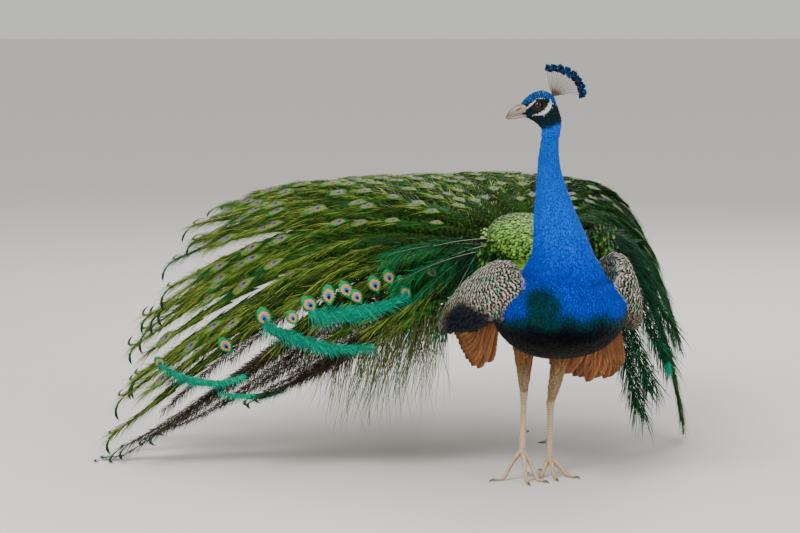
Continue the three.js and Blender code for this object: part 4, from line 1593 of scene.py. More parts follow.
            lie = unit(away) + UP * 0.25
            tint = mixed(
                SCALE_GREEN, SCALE_BRONZE, smoothstep(0.06, 0.16, np.linalg.norm(away, axis=1) - 0.06)
            )
            return lie, tint, np.full(len(p), 0.0125), cover
        back = smoothstep(0.13, -0.06, ahead)[:, None]
        lie = -HEADING * (0.15 + 0.85 * back) - UP * (1.0 - 0.8 * back)
        tint = self.breast(ahead, left, z)
        top = smoothstep(0.34, 0.38, z) * smoothstep(0.05, -0.01, ahead)
        tint = mixed(tint, mixed(BARB_GREEN * 0.5, SCALE_GREEN * 0.8, smoothstep(0.37, 0.42, z)), top)
        return lie, tint, 0.011 + 0.012 * smoothstep(0.02, -0.05, ahead), cover

    @staticmethod
    def breast(ahead: np.ndarray, left: np.ndarray, z: np.ndarray) -> np.ndarray:
        """The colour of the breast, flanks and belly, from deep blue to black downwards."""
        wave = 0.006 * np.sin(left * 90) + 0.003 * np.sin(left * 310 + 1)
        tint = mixed(NAVY, BLUE_DEEP, smoothstep(0.346, 0.360, z + wave))
        dash = 0.5 + 0.5 * np.sin(left * 260 + 60 * z) * np.sin(z * 900)
        tint = mixed(
            tint, TEAL_DARK * 1.6, (0.4 + 0.5 * dash) * np.exp(-(((z + wave - 0.342) / 0.009) ** 2))
        )
        gap = np.hypot((left + 0.062) / 0.034, (z - 0.376) / 0.034)
        tint = mixed(tint, TEAL_DARK, 0.95 * (1 - smoothstep(0.75, 1.15, gap)) * smoothstep(0, 0.08, ahead))
        tint = mixed(BLACK, tint, smoothstep(0.318, 0.334, z))
        return mixed(tint, linear(40, 30, 22), smoothstep(0.0, -0.12, ahead) * smoothstep(0.42, 0.3, z))


COATS = {
    "head": (Region.HEAD,),
    "neck": (Region.NECK,),
    "breast": (Region.TRUNK,),
    "body": (Region.TRUNK,),
    "wings": (Region.WING_RIGHT, Region.WING_LEFT),
    "quills": (Region.WING_RIGHT,),
    "thighs": (Region.THIGH_RIGHT, Region.THIGH_LEFT),
    "rump": (Region.SADDLE,),
}


def rounded(t: np.ndarray) -> np.ndarray:
    """Half the width of a small round-tipped feather."""
    return 0.5 * np.sqrt(np.clip(1 - (2 * np.clip(t, 0, 1) ** 1.25 - 1) ** 2, 0, 1)) + 0.06 * (1 - t)


def broad(t: np.ndarray) -> np.ndarray:
    """Half the width of a broad scale-like feather."""
    return 0.5 * (0.25 + 0.75 * smoothstep(0, 0.45, t)) * np.sqrt(
        np.clip(1 - np.clip((t - 0.5) / 0.5, 0, 1) ** 2.2, 0, 1)
    ) + 0.01


@dataclass
class Coat:
    """The small feathers of one region of the skin.

    Attributes:
        name: The region's name in COATS.
        slot: The material slot of the record.
        finish: What the feathers are finished with.
        spacing: How far apart the feathers stand.
        width: A feather's width for its length.
        lift: How far the tips stand off the skin, in radians.
        ruffle: How far one feather's lie strays from the next.
        outline: Half a feather's width along it.
        rows: Spans along a feather.
    """

    name: str
    slot: str
    finish: Feathering
    spacing: float
    width: float
    lift: float
    ruffle: float
    outline: Callable[[np.ndarray], np.ndarray] = rounded
    rows: int = 3

    def build(self, frame: Frame, skin: bpy.types.Object, tree: Tree) -> None:
        """Grows the coat on the skin as one plain mesh."""
        feather = Vane(self.rows, 2, self.outline, 0.16, 0.10, 0.05, 0.0).shape().made("small_feather")
        material = self.finish.material()
        coat = tree.dress(
            skin,
            f"coat_{self.name}",
            Feather=feather,
            Spacing=self.spacing,
            Seed=5,
            Lift=self.lift,
            Ruffle=self.ruffle,
            Width=self.width,
            Cover=f"cover_{self.name}",
            Patch=TUFT_PATCH,
            Material=material,
        )
        bpy.data.objects.remove(feather)
        frame.settle(coat, self.slot, material)


# ---------------------------------------------------------------------------------------------
# Eyes, bill and crest
# ---------------------------------------------------------------------------------------------
@dataclass
class Eyes:
    """Two wet eyeballs that sit behind the lids."""

    steps: int = 40
    sides: int = 64

    def build(self, frame: Frame, head: Head) -> None:
        """Makes both eyeballs."""
        material = WetEye().material()
        for side, name, node in ((1, "eyeball_right", "eye_right"), (-1, "eyeball_left", "eye_left")):
            ring = np.linspace(0.02, np.pi - 0.02, self.steps)
            turn = 2 * np.pi * np.arange(self.sides) / self.sides
            out = np.stack(
                [
                    np.outer(np.sin(ring), np.cos(turn)),
                    np.outer(np.cos(ring), 0 * turn + side),
                    np.outer(np.sin(ring), np.sin(turn)),
                ],
                -1,
            )
            ball = skin_over(head.eye_middle(side) + EYE_RADIUS * out)
            sine = np.clip(np.append(np.repeat(ring, self.sides), [0, np.pi]) / (np.pi / 2), 0, 2)
            ball.carried = {"ring": sine}
            frame.settle(ball.made(name), "eye_glass", material, node)


@dataclass
class Bill:
    """Both halves of the bill, with the nostrils."""

    upper: Rows = (
        (30, 762, 743.5, 8.5),
        (40, 761, 741.5, 7.6),
        (50, 757.5, 739.5, 6.2),
        (58, 751.5, 737.6, 4.6),
        (64, 744.5, 735.4, 3),
        (69, 735.5, 731.6, 1),
    )
    lower: Rows = (
        (28, 742, 735.6, 6.6),
        (40, 740.4, 733.6, 5.8),
        (52, 738, 731.4, 4.2),
        (60, 736, 730.4, 2.8),
        (66, 733.4, 730.6, 1),
    )
    nostril: tuple[tuple[float, float], tuple[float, float]] = ((-50.5, 747.2), (-39.0, 752.6))

    def half(self, rows: Rows) -> Shape:
        """One half of the bill with its tint."""
        x = np.linspace(rows[0][0], rows[-1][0], 70)
        top, bottom, half = read_rows(rows, x).T * MM
        middle = np.stack([-x * MM, np.full(70, HEAD_MIDDLE), (top + bottom) / 2], 1)
        tall = UP * ((top - bottom) / 2)[:, None]
        shape = skin_over(ovals(middle, np.array([0, 1.0, 0]) * half[:, None], tall, -tall, 48, (1.7, 3)))
        p = shape.points
        at = p[:, [0, 2]] / MM
        start, end = np.array(self.nostril[0]), np.array(self.nostril[1])
        share = np.clip((at - start) @ (end - start) / np.sum((end - start) ** 2), 0, 1)
        gap = np.linalg.norm(at - start - share[:, None] * (end - start), axis=1)
        slit = np.exp(-((gap / 1.1) ** 2)) * (rows is self.upper)
        rim = np.exp(-(((gap - 2.2) / 1.1) ** 2)) * (rows is self.upper)
        p[:, 1] += np.sign(HEAD_MIDDLE - p[:, 1]) * (0.0013 * slit - 0.0004 * rim)
        # a dark band along the edge where the two halves meet: painted shade in the gap between them
        edge = self.upper if rows is self.upper else self.lower
        line = np.interp(
            -at[:, 0], [row[0] for row in edge], [row[2] if rows is self.upper else row[1] for row in edge]
        )
        dark = np.exp(-(((at[:, 1] - line) / 0.9) ** 2))
        horn = mixed(linear(140, 122, 108), linear(96, 82, 74), smoothstep(-52, -68, at[:, 0]))
        top_line = np.interp(-at[:, 0], [row[0] for row in self.upper], [row[1] for row in self.upper])
        culmen = np.exp(-(((at[:, 1] - top_line) / 2.2) ** 2)) * (rows is self.upper)
        horn = mixed(horn, linear(58, 52, 50), 0.7 * culmen * smoothstep(-60, -36, at[:, 0]))
        horn = mixed(horn, linear(60, 48, 38), 0.75 * dark)
        # the nostril slit is painted near black: painted shade in the opening that the shallow dent stands for
        shape.carried = {"tint": mixed(horn, linear(14, 11, 9), slit)}
        return shape

    def build(self, frame: Frame) -> None:
        """Makes both halves."""
        finish = TintedFinish("horn_bill", 0.38, grain=700, depth=0.00012, mottle=0.35).material()
        frame.settle(self.half(self.upper).made("horn_upper"), "bill_horn", finish, "bill_upper")
        frame.settle(self.half(self.lower).made("horn_lower"), "bill_horn", finish, "bill_lower")


def lines_along(paths: np.ndarray, thick: np.ndarray, tint: np.ndarray) -> Shape:
    """Lines through equally many points each, for the tree that makes shafts of them.

    Args:
        paths: The lines' points, by line and then along it.
        thick: Each point's radius.
        tint: Each point's colour.

    Returns:
        A shape of edges.
    """
    count, steps = paths.shape[:2]
    index = np.arange(count * steps).reshape(count, steps)
    along = np.broadcast_to(np.linspace(0, 1, steps), (count, steps))
    middle = np.broadcast_to(((np.arange(count) + 0.5) / count)[:, None], (count, steps))
    return Shape(
        paths.reshape(-1, 3),
        edges=np.stack([index[:, :-1].ravel(), index[:, 1:].ravel()], 1),
        carried={
            "thick": np.broadcast_to(thick, (count, steps)).ravel(),
            "tint": np.broadcast_to(tint, (count, steps, 3)).reshape(-1, 3),
            "vane": np.stack([0.5 + 0 * along.ravel(), along.ravel()], 1),
            "tone": np.full(count * steps, 0.5),
            "root_place": np.stack([middle.ravel(), along.ravel(), 0 * along.ravel()], 1),
        },
    )


@dataclass
class Crest:
    """The fan of thin bare shafts, each with a small blue paddle at its end."""

    root: tuple[float, float, float] = (0.025, -0.140, 0.776)
    count: int = 23
    first_lean: float = -13
    last_lean: float = 91
    length: float = 0.062
    spread: float = 0.007

    def build(self, frame: Frame, quills: Tree, setting: Tree) -> None:
        """Makes the shafts and the barbs of the paddles."""
        chance = np.random.default_rng(21)
        share = (np.arange(self.count) + 0.5) / self.count
        lean = np.radians(self.first_lean + (self.last_lean - self.first_lean) * share)
        sway = self.spread * np.sin(np.arange(self.count) * 2.4) / self.length
        out = unit(np.stack([np.sin(lean), sway, np.cos(lean)], 1))
        length = (
            self.length * np.where(np.arange(self.count) % 3 == 1, 0.955, 1.0)
            * chance.uniform(0.96, 1.0, self.count)
        )
        t = np.linspace(0, 1, 9)
        bow = np.cross(out, [0, 1.0, 0]) * 0.0035
        start = np.array(self.root) + np.stack(
            [0.004 * (share - 0.5), 0.0015 * np.sin(np.arange(self.count) * 5.0), 0 * share], 1
        )
        paths = (
            start[:, None] + out[:, None] * (t * (length[:, None] - 0.004))[..., None]
            + bow[:, None] * np.sin(np.pi * t)[None, :, None]
        )
        shafts = lines_along(paths, 0.00050 - 0.00012 * t, linear(84, 62, 44))
        finish = TintedFinish("crest_shaft", 0.5).material()
        piece = quills.dress(
            shafts.made("crest_lines"), "crest_shafts", Sides=6, Patch=0.0, Material=finish
        )
        frame.settle(piece, "crest_feathers", finish, "crest")
        self.paddles(frame, setting, paths[:, -1], out, chance)

    def paddles(
        self, frame: Frame, setting: Tree, tips: np.ndarray, out: np.ndarray, chance: np.random.Generator
    ) -> None:
        """Sets barbs in a fan on each side of a shaft's end."""
        barbs = 22
        side = unit(np.cross(out, [0, 1.0, 0]))
        step = np.arange(barbs)
        lean = np.where(step % 2, 1, -1) * (0.25 + 0.85 * (1 - step / barbs))
        along = unit(
            out[:, None] * np.cos(lean)[None, :, None] + side[:, None] * np.sin(lean)[None, :, None]
            + chance.normal(0, 0.12, (len(tips), barbs, 3))
        )
        at = tips[:, None] - out[:, None] * (0.0075 * (1 - step / barbs))[None, :, None]
        size = 0.0064 + 0.0012 * chance.uniform(0, 1, (len(tips), barbs))
        tint = mixed(linear(3, 16, 52), linear(10, 96, 160), chance.uniform(0, 1, size.shape) ** 2.2)
        points = placed(
            at,
            along,
            np.array([0, -1.0, 0]) + 0.4 * chance.normal(0, 1, at.shape),
            size,
            size,
            tint,
            chance,
        )
        finish = Feathering("crest_paddle", 0.5, 0.4, tip=1.35).material()
        leaf = Vane(3, 2, rounded, 0.1, 0.0, 0.06).shape()
        leaf.points[:, 0] *= 0.55
        frame.settle(set_pieces(setting, points, leaf, "crest_paddles", finish), "crest_feathers", finish)


def placed(
    at: np.ndarray,
    along: np.ndarray,
    over: np.ndarray,
    length: np.ndarray,
    width: np.ndarray,
    tint: np.ndarray,
    chance: np.random.Generator,
    root: np.ndarray | None = None,
    **more: np.ndarray,
) -> Shape:
    """Points for the setting tree.

    Args:
        at: Where each piece stands, in any number of rows.
        along: Its length's way.
        over: Roughly its upper side's way.
        length: Its length.
        width: Its width.
        tint: Its colour.
        chance: What draws each one's tone.
        root: Its place on the bake map; a grid of them unless given.
        more: Other numbers that it carries.

    Returns:
        A shape of points alone.
    """
    points = at.reshape(-1, 3)
    count = len(points)
    spread = lambda values: np.broadcast_to(values, at.shape).reshape(-1, 3)
    number = lambda values: np.broadcast_to(values, at.shape[:-1]).ravel()
    along, length, width = unit(spread(along)), number(length), number(width)
    if root is None:
        row = int(np.ceil(np.sqrt(count)))
        index = np.arange(count)
        root = (np.stack([index % row, index // row], 1) + 0.5) / row
    root = np.broadcast_to(root, (*at.shape[:-1], 2)).reshape(-1, 2) if root.ndim > 2 else root
    return Shape(
        points,
        carried={
            "along": along,
            "over": spread(over),
            "size": np.stack([width, length, length], 1),
            "tint": spread(tint),
            "tone": chance.uniform(0, 1, count),
            "root_place": np.column_stack([root, np.zeros(count)]),
            **{key: number(values) for key, values in more.items()},
        },
    )


def set_pieces(
    tree: Tree,
    points: Shape,
    piece: Shape,
    name: str,
    material: bpy.types.Material,
    patch: float = TUFT_PATCH,
) -> bpy.types.Object:
    """Sets one piece on every point and gives the result as a plain mesh."""
    template, source = piece.made(f"{name}_one"), points.made(f"{name}_points")
    made = tree.dress(source, name, Piece=template, Patch=patch, Material=material)
    for each in (template, source):
        bpy.data.objects.remove(each)
    return made


def laid(
    shape: Shape, path: np.ndarray, across: np.ndarray, over: np.ndarray, width: float | np.ndarray
) -> Shape:
    """A blade laid along a path.

    Args:
        shape: The blade, of length 1 along +Y.
        path: The middle line's points.
        across: The way across at each of them.
        over: The way out of the blade's face at each of them.
        width: The blade's width at each of them, or everywhere.

    Returns:
        The blade in its place, with its map kept.
    """
    x, y, z = shape.points.T
    steps = np.linspace(0, 1, len(path))
    read = lambda values: np.stack([np.interp(y, steps, column) for column in np.asarray(values).T], 1)
    wide = np.interp(y, steps, np.broadcast_to(width, len(path)))
    points = read(path) + read(across) * (x * wide)[:, None] + read(over) * (z * wide)[:, None]
    return Shape(points, shape.quads, shape.triangles, carried=dict(shape.carried)).facing_out()


def toned(blades: list[Shape], chance: np.random.Generator) -> Shape:
    """Blades as one shape, each with a tone of its own and its own column of the bake map."""
    for i, blade in enumerate(blades):
        blade.carried["tone"] = np.full(len(blade.points), chance.uniform())
        blade.carried["bake"] = (blade.carried["vane"] * (0.96, 1) + (i + 0.02, 0)) / (len(blades), 1)
    return joined(blades)


def with_bake_map(piece: bpy.types.Object) -> bpy.types.Object:
    """Gives a piece the bake map that its points carry."""
    mesh = piece.data
    at = np.empty(len(mesh.vertices) * 2, np.float32)
    mesh.attributes["bake"].data.foreach_get("vector", at)
    corners = np.empty(len(mesh.loops), np.int32)
    mesh.loops.foreach_get("vertex_index", corners)
    mesh.attributes.remove(mesh.attributes["bake"])
    layer = mesh.uv_layers.new(name=BAKE_MAP)
    layer.data.foreach_set("uv", np.clip(at.reshape(-1, 2), 0, 1)[corners].ravel())
    return piece


# ---------------------------------------------------------------------------------------------
# Legs
# ---------------------------------------------------------------------------------------------
@dataclass
class Leg:
    """A bare leg with its scutes, toes, claws and spur."""

    name: str
    hock: tuple[float, float, float]
    heel: tuple[float, float, float]
    spur: tuple[tuple[float, float, float], tuple[float, float, float]]
    toes: dict[str, tuple[float, float, float]]
    toe_rest: float = 0.0026
    scute: float = 0.0052
    claw_length: float = 0.015

    def toe_path(self, toe: tuple[float, float, float], steps: int) -> np.ndarray:
        """A toe's middle line, from the heel over the knuckle down to its tip."""
        x, y, arch = (each * MM for each in toe)
        start, tip = np.array(self.heel) * MM, np.array([x, y, self.toe_rest])
        knuckle, pad = start + (tip - start) * 0.34, start + (tip - start) * 0.68
        knuckle[2], pad[2] = arch + 0.008, self.toe_rest + 0.003
        keyed = np.column_stack([[0, 0.34, 0.68, 1.0], np.stack([start, knuckle, pad, tip])])
        return read_rows(keyed, np.linspace(0, 1, steps))

    def scuted(
        self, path: np.ndarray, half: np.ndarray, front: np.ndarray, pitch: float, sides: int
    ) -> Shape:
        """A limb whose front is covered with overlapping scutes."""
        along, across, over = axes_along(path, np.array([1.0, 0, 0]))
        angle = 2 * np.pi * np.arange(sides) / sides
        way = across[:, None] * np.cos(angle)[None, :, None] + over[:, None] * np.sin(angle)[None, :, None]
        run = np.concatenate([[0], np.cumsum(np.linalg.norm(np.diff(path, axis=0), axis=1))])
        facing = np.clip(
            np.sum(
                way * unit(front - along * np.sum(front * along, axis=1, keepdims=True))[:, None], axis=2
            ),
            -1,
            1,
        )
        phase = (run[:, None] / pitch + 0.10 * facing) % 1
        plate = np.where(phase < 0.82, 0.35 + 0.65 * phase / 0.82, (1 - phase) / 0.18)
        on_front = smoothstep(0.1, 0.45, facing)
        stand = 1 + on_front * (plate - 0.6) * 0.10 * (0.006 / half[:, :1])
        rings = path[:, None] + way * (
            half[:, None, :1] * np.abs(np.cos(angle))[None, :, None] ** 2
            + half[:, None, 1:] * np.abs(np.sin(angle))[None, :, None] ** 2
        ) * stand[..., None]
        shape = skin_over(rings)
        shade = np.concatenate([(on_front * (1 - plate) ** 2).ravel(), [0, 0]])
        front_share = np.concatenate([on_front.ravel(), [0, 0]])
        tint = mixed(linear(188, 160, 128), linear(222, 196, 160), front_share)
        shape.carried = {"tint": mixed(tint, linear(120, 92, 66), shade)}
        return shape

    def build(self, frame: Frame, finish: bpy.types.Material, horn: bpy.types.Material) -> None:
        """Makes the leg, its claws and its spur."""
        hock, heel = np.array(self.hock) * MM, np.array(self.heel) * MM
        t = np.linspace(0, 1, 200)
        path = (hock + UP * 0.004) * (1 - t)[:, None] + heel * t[:, None]
        radius = 0.0060 + 0.0026 * np.exp(-((t / 0.16) ** 2)) + 0.0016 * t**6
        shank = self.scuted(
            path, np.stack([radius, radius * 1.2], 1), np.array([0.0, -1, 0]), self.scute, 36
        )
        parts = [shank]
        for i, toe in enumerate(self.toes.values()):
            steps = 110
            t = np.linspace(0, 1, steps)
            slim = 0.78 if i == 3 else 1.0
            knuckles = 1 + 0.09 * np.cos(t * np.pi * 6)
            radius = slim * knuckles * (0.0056 + (0.0032 - 0.0056) * t)
            limb_path = self.toe_path(toe, steps)
            radius = np.minimum(radius, np.maximum(limb_path[:, 2] - 0.0002, 0.0022))
            parts.append(self.scuted(limb_path, np.stack([radius, radius], 1), UP, 0.0036, 24))
        leg = self.united(parts)
        low = leg.data.vertices
        co = np.empty(len(low) * 3, np.float32)
        low.foreach_get("co", co)
        co = co.reshape(-1, 3)
        co[:, 2] = np.maximum(co[:, 2], 0.0)
        low.foreach_set("co", co.ravel())
        frame.settle(leg, "leg_scales", finish, f"tarsus_{self.name}", f"foot_{self.name}")
        claws = [f"claw_{self.name}_{toe}" for toe in self.toes]
        frame.settle(
            self.horns().made(f"claws_{self.name}"), "claw_horn", horn, f"spur_{self.name}", *claws
        )

    def united(self, parts: list[Shape]) -> bpy.types.Object:
        """The shank and toes as one closed surface."""
        leg = parts[0].made(f"leg_{self.name}")
        others = [shape.made(f"toe_{i}") for i, shape in enumerate(parts[1:])]
        for i, other in enumerate(others):
            union = leg.modifiers.new(f"toe_{i}", "BOOLEAN")
            union.operation, union.solver, union.object = "UNION", "EXACT", other
        mesh = plain_mesh(leg, leg.name)
        leg.modifiers.clear()
        leg.data = mesh
        for other in others:
            bpy.data.objects.remove(other)
        whole = joined(parts)
        tree = KDTree(len(whole.points))
        for i, point in enumerate(whole.points):
            tree.insert(point, i)
        tree.balance()
        for name in [each.name for each in mesh.attributes if each.name in ("tint", "place")]:
            mesh.attributes.remove(mesh.attributes[name])
        near = [tree.find(vertex.co)[1] for vertex in mesh.vertices]
        store(mesh, "tint", whole.carried["tint"][near])
        return leg

    def horns(self) -> Shape:
        """The four claws and the spur."""
        shapes = []
        for toe in self.toes.values():
            path = self.toe_path(toe, 60)
            tip, way = path[-1], unit((path[-1] - path[-3]) * (1, 1, 0))
            ends = [tip - way * 0.0015, tip + way * self.claw_length * 0.6, tip + way * self.claw_length]
            for end, height in zip(ends, (0.0030, 0.0060, 0.0007)):
                end[2] = height
            t = np.linspace(0, 1, 24)[:, None]
            curve = (1 - t) ** 2 * ends[0] + 2 * (1 - t) * t * ends[1] + t**2 * ends[2]
            radius = 0.0027 * (1 - 0.86 * t[:, 0] ** 1.3)
            radius = np.minimum(radius, np.maximum(curve[:, 2], 0.0005))
            shapes.append(self.horn(curve, radius))
        start, end = (np.array(each) * MM for each in self.spur)
        t = np.linspace(0, 1, 24)
        bow = np.outer(np.sin(np.pi * t), [0, 0, -0.0015])
        shapes.append(self.horn(start + np.outer(t, end - start) + bow, 0.0044 * (1 - 0.85 * t**1.2)))
        return joined(shapes)

    @staticmethod
    def horn(path: np.ndarray, radius: np.ndarray) -> Shape:
        """One pointed horn, paler at its root."""
        shape = skin_over(limb(path, np.stack([radius, radius], 1), 20))
        along = shape.carried["place"][:, 1]
        pale, dark = linear(150, 128, 100) + 0 * shape.points, linear(58, 46, 38) + 0 * shape.points
        shape.carried = {"tint": mixed(pale, dark, smoothstep(0.0, 0.7, along))}
        return shape


# ---------------------------------------------------------------------------------------------
# Wing and tail quills
# ---------------------------------------------------------------------------------------------
def flight(t: np.ndarray) -> np.ndarray:
    """Half the width of a flight feather with a rounded tip."""
    return 0.5 * (0.45 + 0.55 * smoothstep(0, 0.35, t)) * np.sqrt(
        np.clip(1 - np.clip((t - 0.72) / 0.28, 0, 1) ** 2.4, 0, 1)
    ) + 0.012


@dataclass
class QuillFan:
    """A fan of large overlapping feathers from one root.

    Attributes:
        name: The piece's name.
        node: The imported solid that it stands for.
        root: Where the quills start.
        first: The first quill's tip.
        last: The last quill's tip.
        lengths: Each quill's length.
        width: A quill's width.
        layer: How far each quill lies over the one before.
        droop: How far a quill bends out of the fan's plane at its tip.
        more: Extra quills drawn between the ones of the solid.
    """

    name: str
    node: str
    root: tuple[float, float, float]
    first: tuple[float, float, float]
    last: tuple[float, float, float]
    lengths: tuple[float, ...]
    width: float
    layer: float = 0.0012
    droop: float = 0.012
    more: int = 2

    def build(self, frame: Frame, slot: str, finish: bpy.types.Material) -> None:
        """Makes the fan as one piece."""
        chance = np.random.default_rng(len(self.name) * 7 + 3)
        root, first, last = (np.array(each) * MM for each in (self.root, self.first, self.last))
        start, end = unit(first - root), unit(last - root)
        sweep = math.acos(float(np.clip(start @ end, -1, 1)))
        normal = unit(np.cross(start, end))
        count = (len(self.lengths) - 1) * self.more + 1
        template = Vane(26, 8, flight, 0.16, 0.0, 0.02, 0.10).shape()
        blades = []
        for i in range(count):
            share = i / (count - 1)
            length = np.interp(
                share * (len(self.lengths) - 1), np.arange(len(self.lengths)), self.lengths
            ) * MM
            length *= 0.965 * chance.uniform(0.955, 1.0)
            angle = sweep * share + chance.normal(0, 0.012)
            way = start * math.cos(angle) + np.cross(normal, start) * math.sin(angle)
            side = np.cross(normal, way)
            t = np.linspace(0, 1, 20)
            lift = self.layer * (i - count / 2)
            path = (
                root + np.outer(t * length, way) + normal * (lift + self.droop * 0 * t[:, None])
                + side * (0.02 * length * np.sin(np.pi * t))[:, None]
            )
            path = path - normal * (self.droop * 0.35 * t**2)[:, None]
            tilt = 0.16
            across = side * math.cos(tilt) + normal * math.sin(tilt)
            over = normal * math.cos(tilt) - side * math.sin(tilt)
            blades.append(
                laid(template, path, across + 0 * path, over + 0 * path, self.width * (0.75 + 0.35 * t))
            )
        frame.settle(with_bake_map(toned(blades, chance).made(self.name)), slot, finish, self.node)


# ---------------------------------------------------------------------------------------------
# The train
# ---------------------------------------------------------------------------------------------
def outwards(bearing: np.ndarray) -> np.ndarray:
    """The level way of a bearing in degrees, turned from straight behind towards -X."""
    angle = np.radians(bearing)
    return np.stack([-np.sin(angle), np.cos(angle), 0 * angle], -1)


@dataclass
class Fan:
    """The curved surface that the train's feathers follow."""

    centre: tuple[float, float, float] = (-0.009, 0.105, 0)
    root_radius: float = 0.066
    root_height: float = 0.470
    flank_drop: float = 0.030
    middle: float = 15
    half_sweep: float = 70
    # bearing, reach, tip height, and the slopes in degrees at the two ends of a feather
    stations: Rows = (
        (-46, 480, 22, 46, -80),
        (-38, 570, 60, 42, -72),
        (-30, 720, 190, 34, -58),
        (-22, 860, 320, 28, -46),
        (-8, 980, 380, 23, -36),
        (10, 1060, 400, 21, -30),
        (28, 960, 480, 20, -18),
        (40, 935, 500, 20, -13),
        (50, 925, 490, 19, -12),
        (61, 930, 330, 14, -26),
        (71, 945, 110, 8, -34),
        (80, 945, -12, -1, -30),
        (90, 700, 112, -14, -12),
        (99, 480, 196, -24, -4),
    )

    def at(self, bearing: np.ndarray, share: np.ndarray) -> np.ndarray:
        """Points at bearings and shares of the way from the rump to the longest tips."""
        bearing, share = np.broadcast_arrays(np.asarray(bearing, float), np.asarray(share, float))
        shape, bearing, share = bearing.shape, bearing.ravel(), share.ravel()
        reach, tip, rise, fall = read_rows(self.stations, bearing).T
        out = outwards(bearing)
        centre = np.array(self.centre)
        start = centre + out * self.root_radius
        start[:, 2] = self.root_height - self.flank_drop * ((bearing - self.middle) / self.half_sweep) ** 2
        end = centre + out * (reach * MM)[:, None]
        end[:, 2] = tip * MM
        pull = 0.38 * np.linalg.norm(end - start, axis=1)[:, None]
        slope = lambda angle: out * np.cos(
            np.radians(angle)
        )[:, None] + UP * np.sin(np.radians(angle))[:, None]
        points = bezier(start, start + slope(rise) * pull, end - slope(fall) * pull, end, share)
        points[:, 2] = np.maximum(points[:, 2], 0.004)
        return points.reshape(*shape, 3)

    def frame(self, bearing: np.ndarray, share: np.ndarray) -> tuple[
        np.ndarray, np.ndarray, np.ndarray, np.ndarray
    ]:
        """Points of the surface with the way along it, across it and out of it."""
        point = self.at(bearing, share)
        along = unit(
            self.at(bearing, np.clip(share + 0.01, 0, 1)) - self.at(bearing, np.clip(share - 0.01, 0, 1))
        )
        side = self.at(np.asarray(bearing) + 0.5, share) - self.at(np.asarray(bearing) - 0.5, share)
        side = unit(side - along * np.sum(side * along, axis=-1, keepdims=True))
        over = np.cross(along, side)
        return point, along, side, np.where(over[..., 2:] < 0, -over, over)


BARB_GOLD = linear(188, 212, 84)
BARB_EMERALD = linear(8, 138, 78)
BARB_TEAL = linear(4, 150, 128)
SHAFT_PALE = linear(206, 200, 176)


@dataclass(frozen=True)
class Barbing:
    """How loose barbs stand along a feather.

    Attributes:
        spacing: How far apart they stand on one side, in metres.
        length: How long they are at the feather's root and at its tip.
        lean: How far they lean out from the shaft at the root and at the tip, in degrees.
        sag: How far their tips hang.
        width: How wide they are.
        dark: The colour of the darkest.
        bright: The colour of the brightest.
        gleam: The share of bright ones at the root and at the tip.
        start: Where along the feather they begin.
        ruffle: How far each strays from its lean, in degrees.
    """

    spacing: float
    length: tuple[float, float]
    lean: tuple[float, float]
    sag: float
    width: float
    dark: np.ndarray
    bright: np.ndarray
    gleam: tuple[float, float] = (0.2, 0.8)
    start: float = 0.1
    ruffle: float = 7

    def along(
        self, path: np.ndarray, face: np.ndarray, column: float, chance: np.random.Generator
    ) -> Shape:
        """The barbs of one feather, as points for the setting tree.

        Args:
            path: The shaft's points.
            face: The way that the feather's face looks at each of them.
            column: The feather's column of the bake map.
            chance: What draws their differences.

        Returns:
            The points.
        """
        steps = np.linspace(0, 1, len(path))
        long = float(np.sum(np.linalg.norm(np.diff(path, axis=0), axis=1)))
        count = max(8, int(2 * long * (1 - self.start) / self.spacing))
        t = (np.arange(count) + chance.uniform(0, 1, count)) / count
        t = np.clip(self.start + (1 - self.start) * t**0.8, 0, 1)
        read = lambda values: np.stack([np.interp(t, steps, column) for column in values.T], 1)
        way, face = unit(read(np.gradient(path, axis=0))), unit(read(face))
        across = unit(np.cross(way, face))
        face = np.cross(across, way)
        hand = np.where(np.arange(count) % 2, 1.0, -1.0)[:, None]
        blend = lambda pair: pair[0] + (pair[1] - pair[0]) * t
        lean = np.radians(blend(self.lean) + chance.normal(0, self.ruffle, count))[:, None]
        to = (
            way * np.cos(lean) + across * hand * np.sin(lean) + face * chance.normal(0.04, 0.10, (count, 1))
        )
        length = blend(self.length) * chance.uniform(0.7, 1.15, count)
        own = chance.uniform(-0.2, 0.2)
        bright = np.clip(blend(self.gleam) + own + chance.normal(0, 0.22, count), 0, 1)
        tint = mixed(self.dark, self.bright, bright)
        root = np.column_stack([np.full(count, column), 0.02 + 0.96 * t])
        points = placed(
            read(path), to, -hand * face, length, np.full(count, self.width), tint, chance, root
        )
        points.carried["size"][:, 2] = self.width
        points.carried["hang"] = self.sag * chance.uniform(0.4, 1.3, count) * (length / max(self.length))
        return points


def strands(
    tree: Tree,
    groups: list[Shape],
    name: str,
    slot: str,
    finish: bpy.types.Material,
    frame: Frame,
    steps: int = 3,
    bend: float = 0.28,
) -> None:
    """Sets a barb on every point, lets it hang, and hands the pieces over.

    Args:
        tree: The setting tree.
        groups: The points of each piece.
        name: What the pieces are called.
        slot: Their material slot.
        finish: Their material.
        frame: What they are handed to.
        steps: Spans along a barb.
        bend: How far a barb curves towards its feather's tip.
    """
    barb = Strand(steps, 1.0, bend).shape()
    for i, points in enumerate(groups):
        label = name if len(groups) == 1 else f"{name}_{i + 1}"
        piece = set_pieces(tree, points, barb, label, finish)
        mesh = piece.data
        co, vane, hang = (np.empty(len(mesh.vertices) * width, np.float32) for width in (3, 2, 1))
        mesh.vertices.foreach_get("co", co)
        mesh.attributes["vane"].data.foreach_get("vector", vane)
        mesh.attributes["hang"].data.foreach_get("value", hang)
        co = co.reshape(-1, 3)
        co[:, 2] = np.maximum(co[:, 2] - hang * vane.reshape(-1, 2)[:, 1] ** 2, 0.002)
        mesh.vertices.foreach_set("co", co.ravel())
        frame.settle(piece, slot, finish)


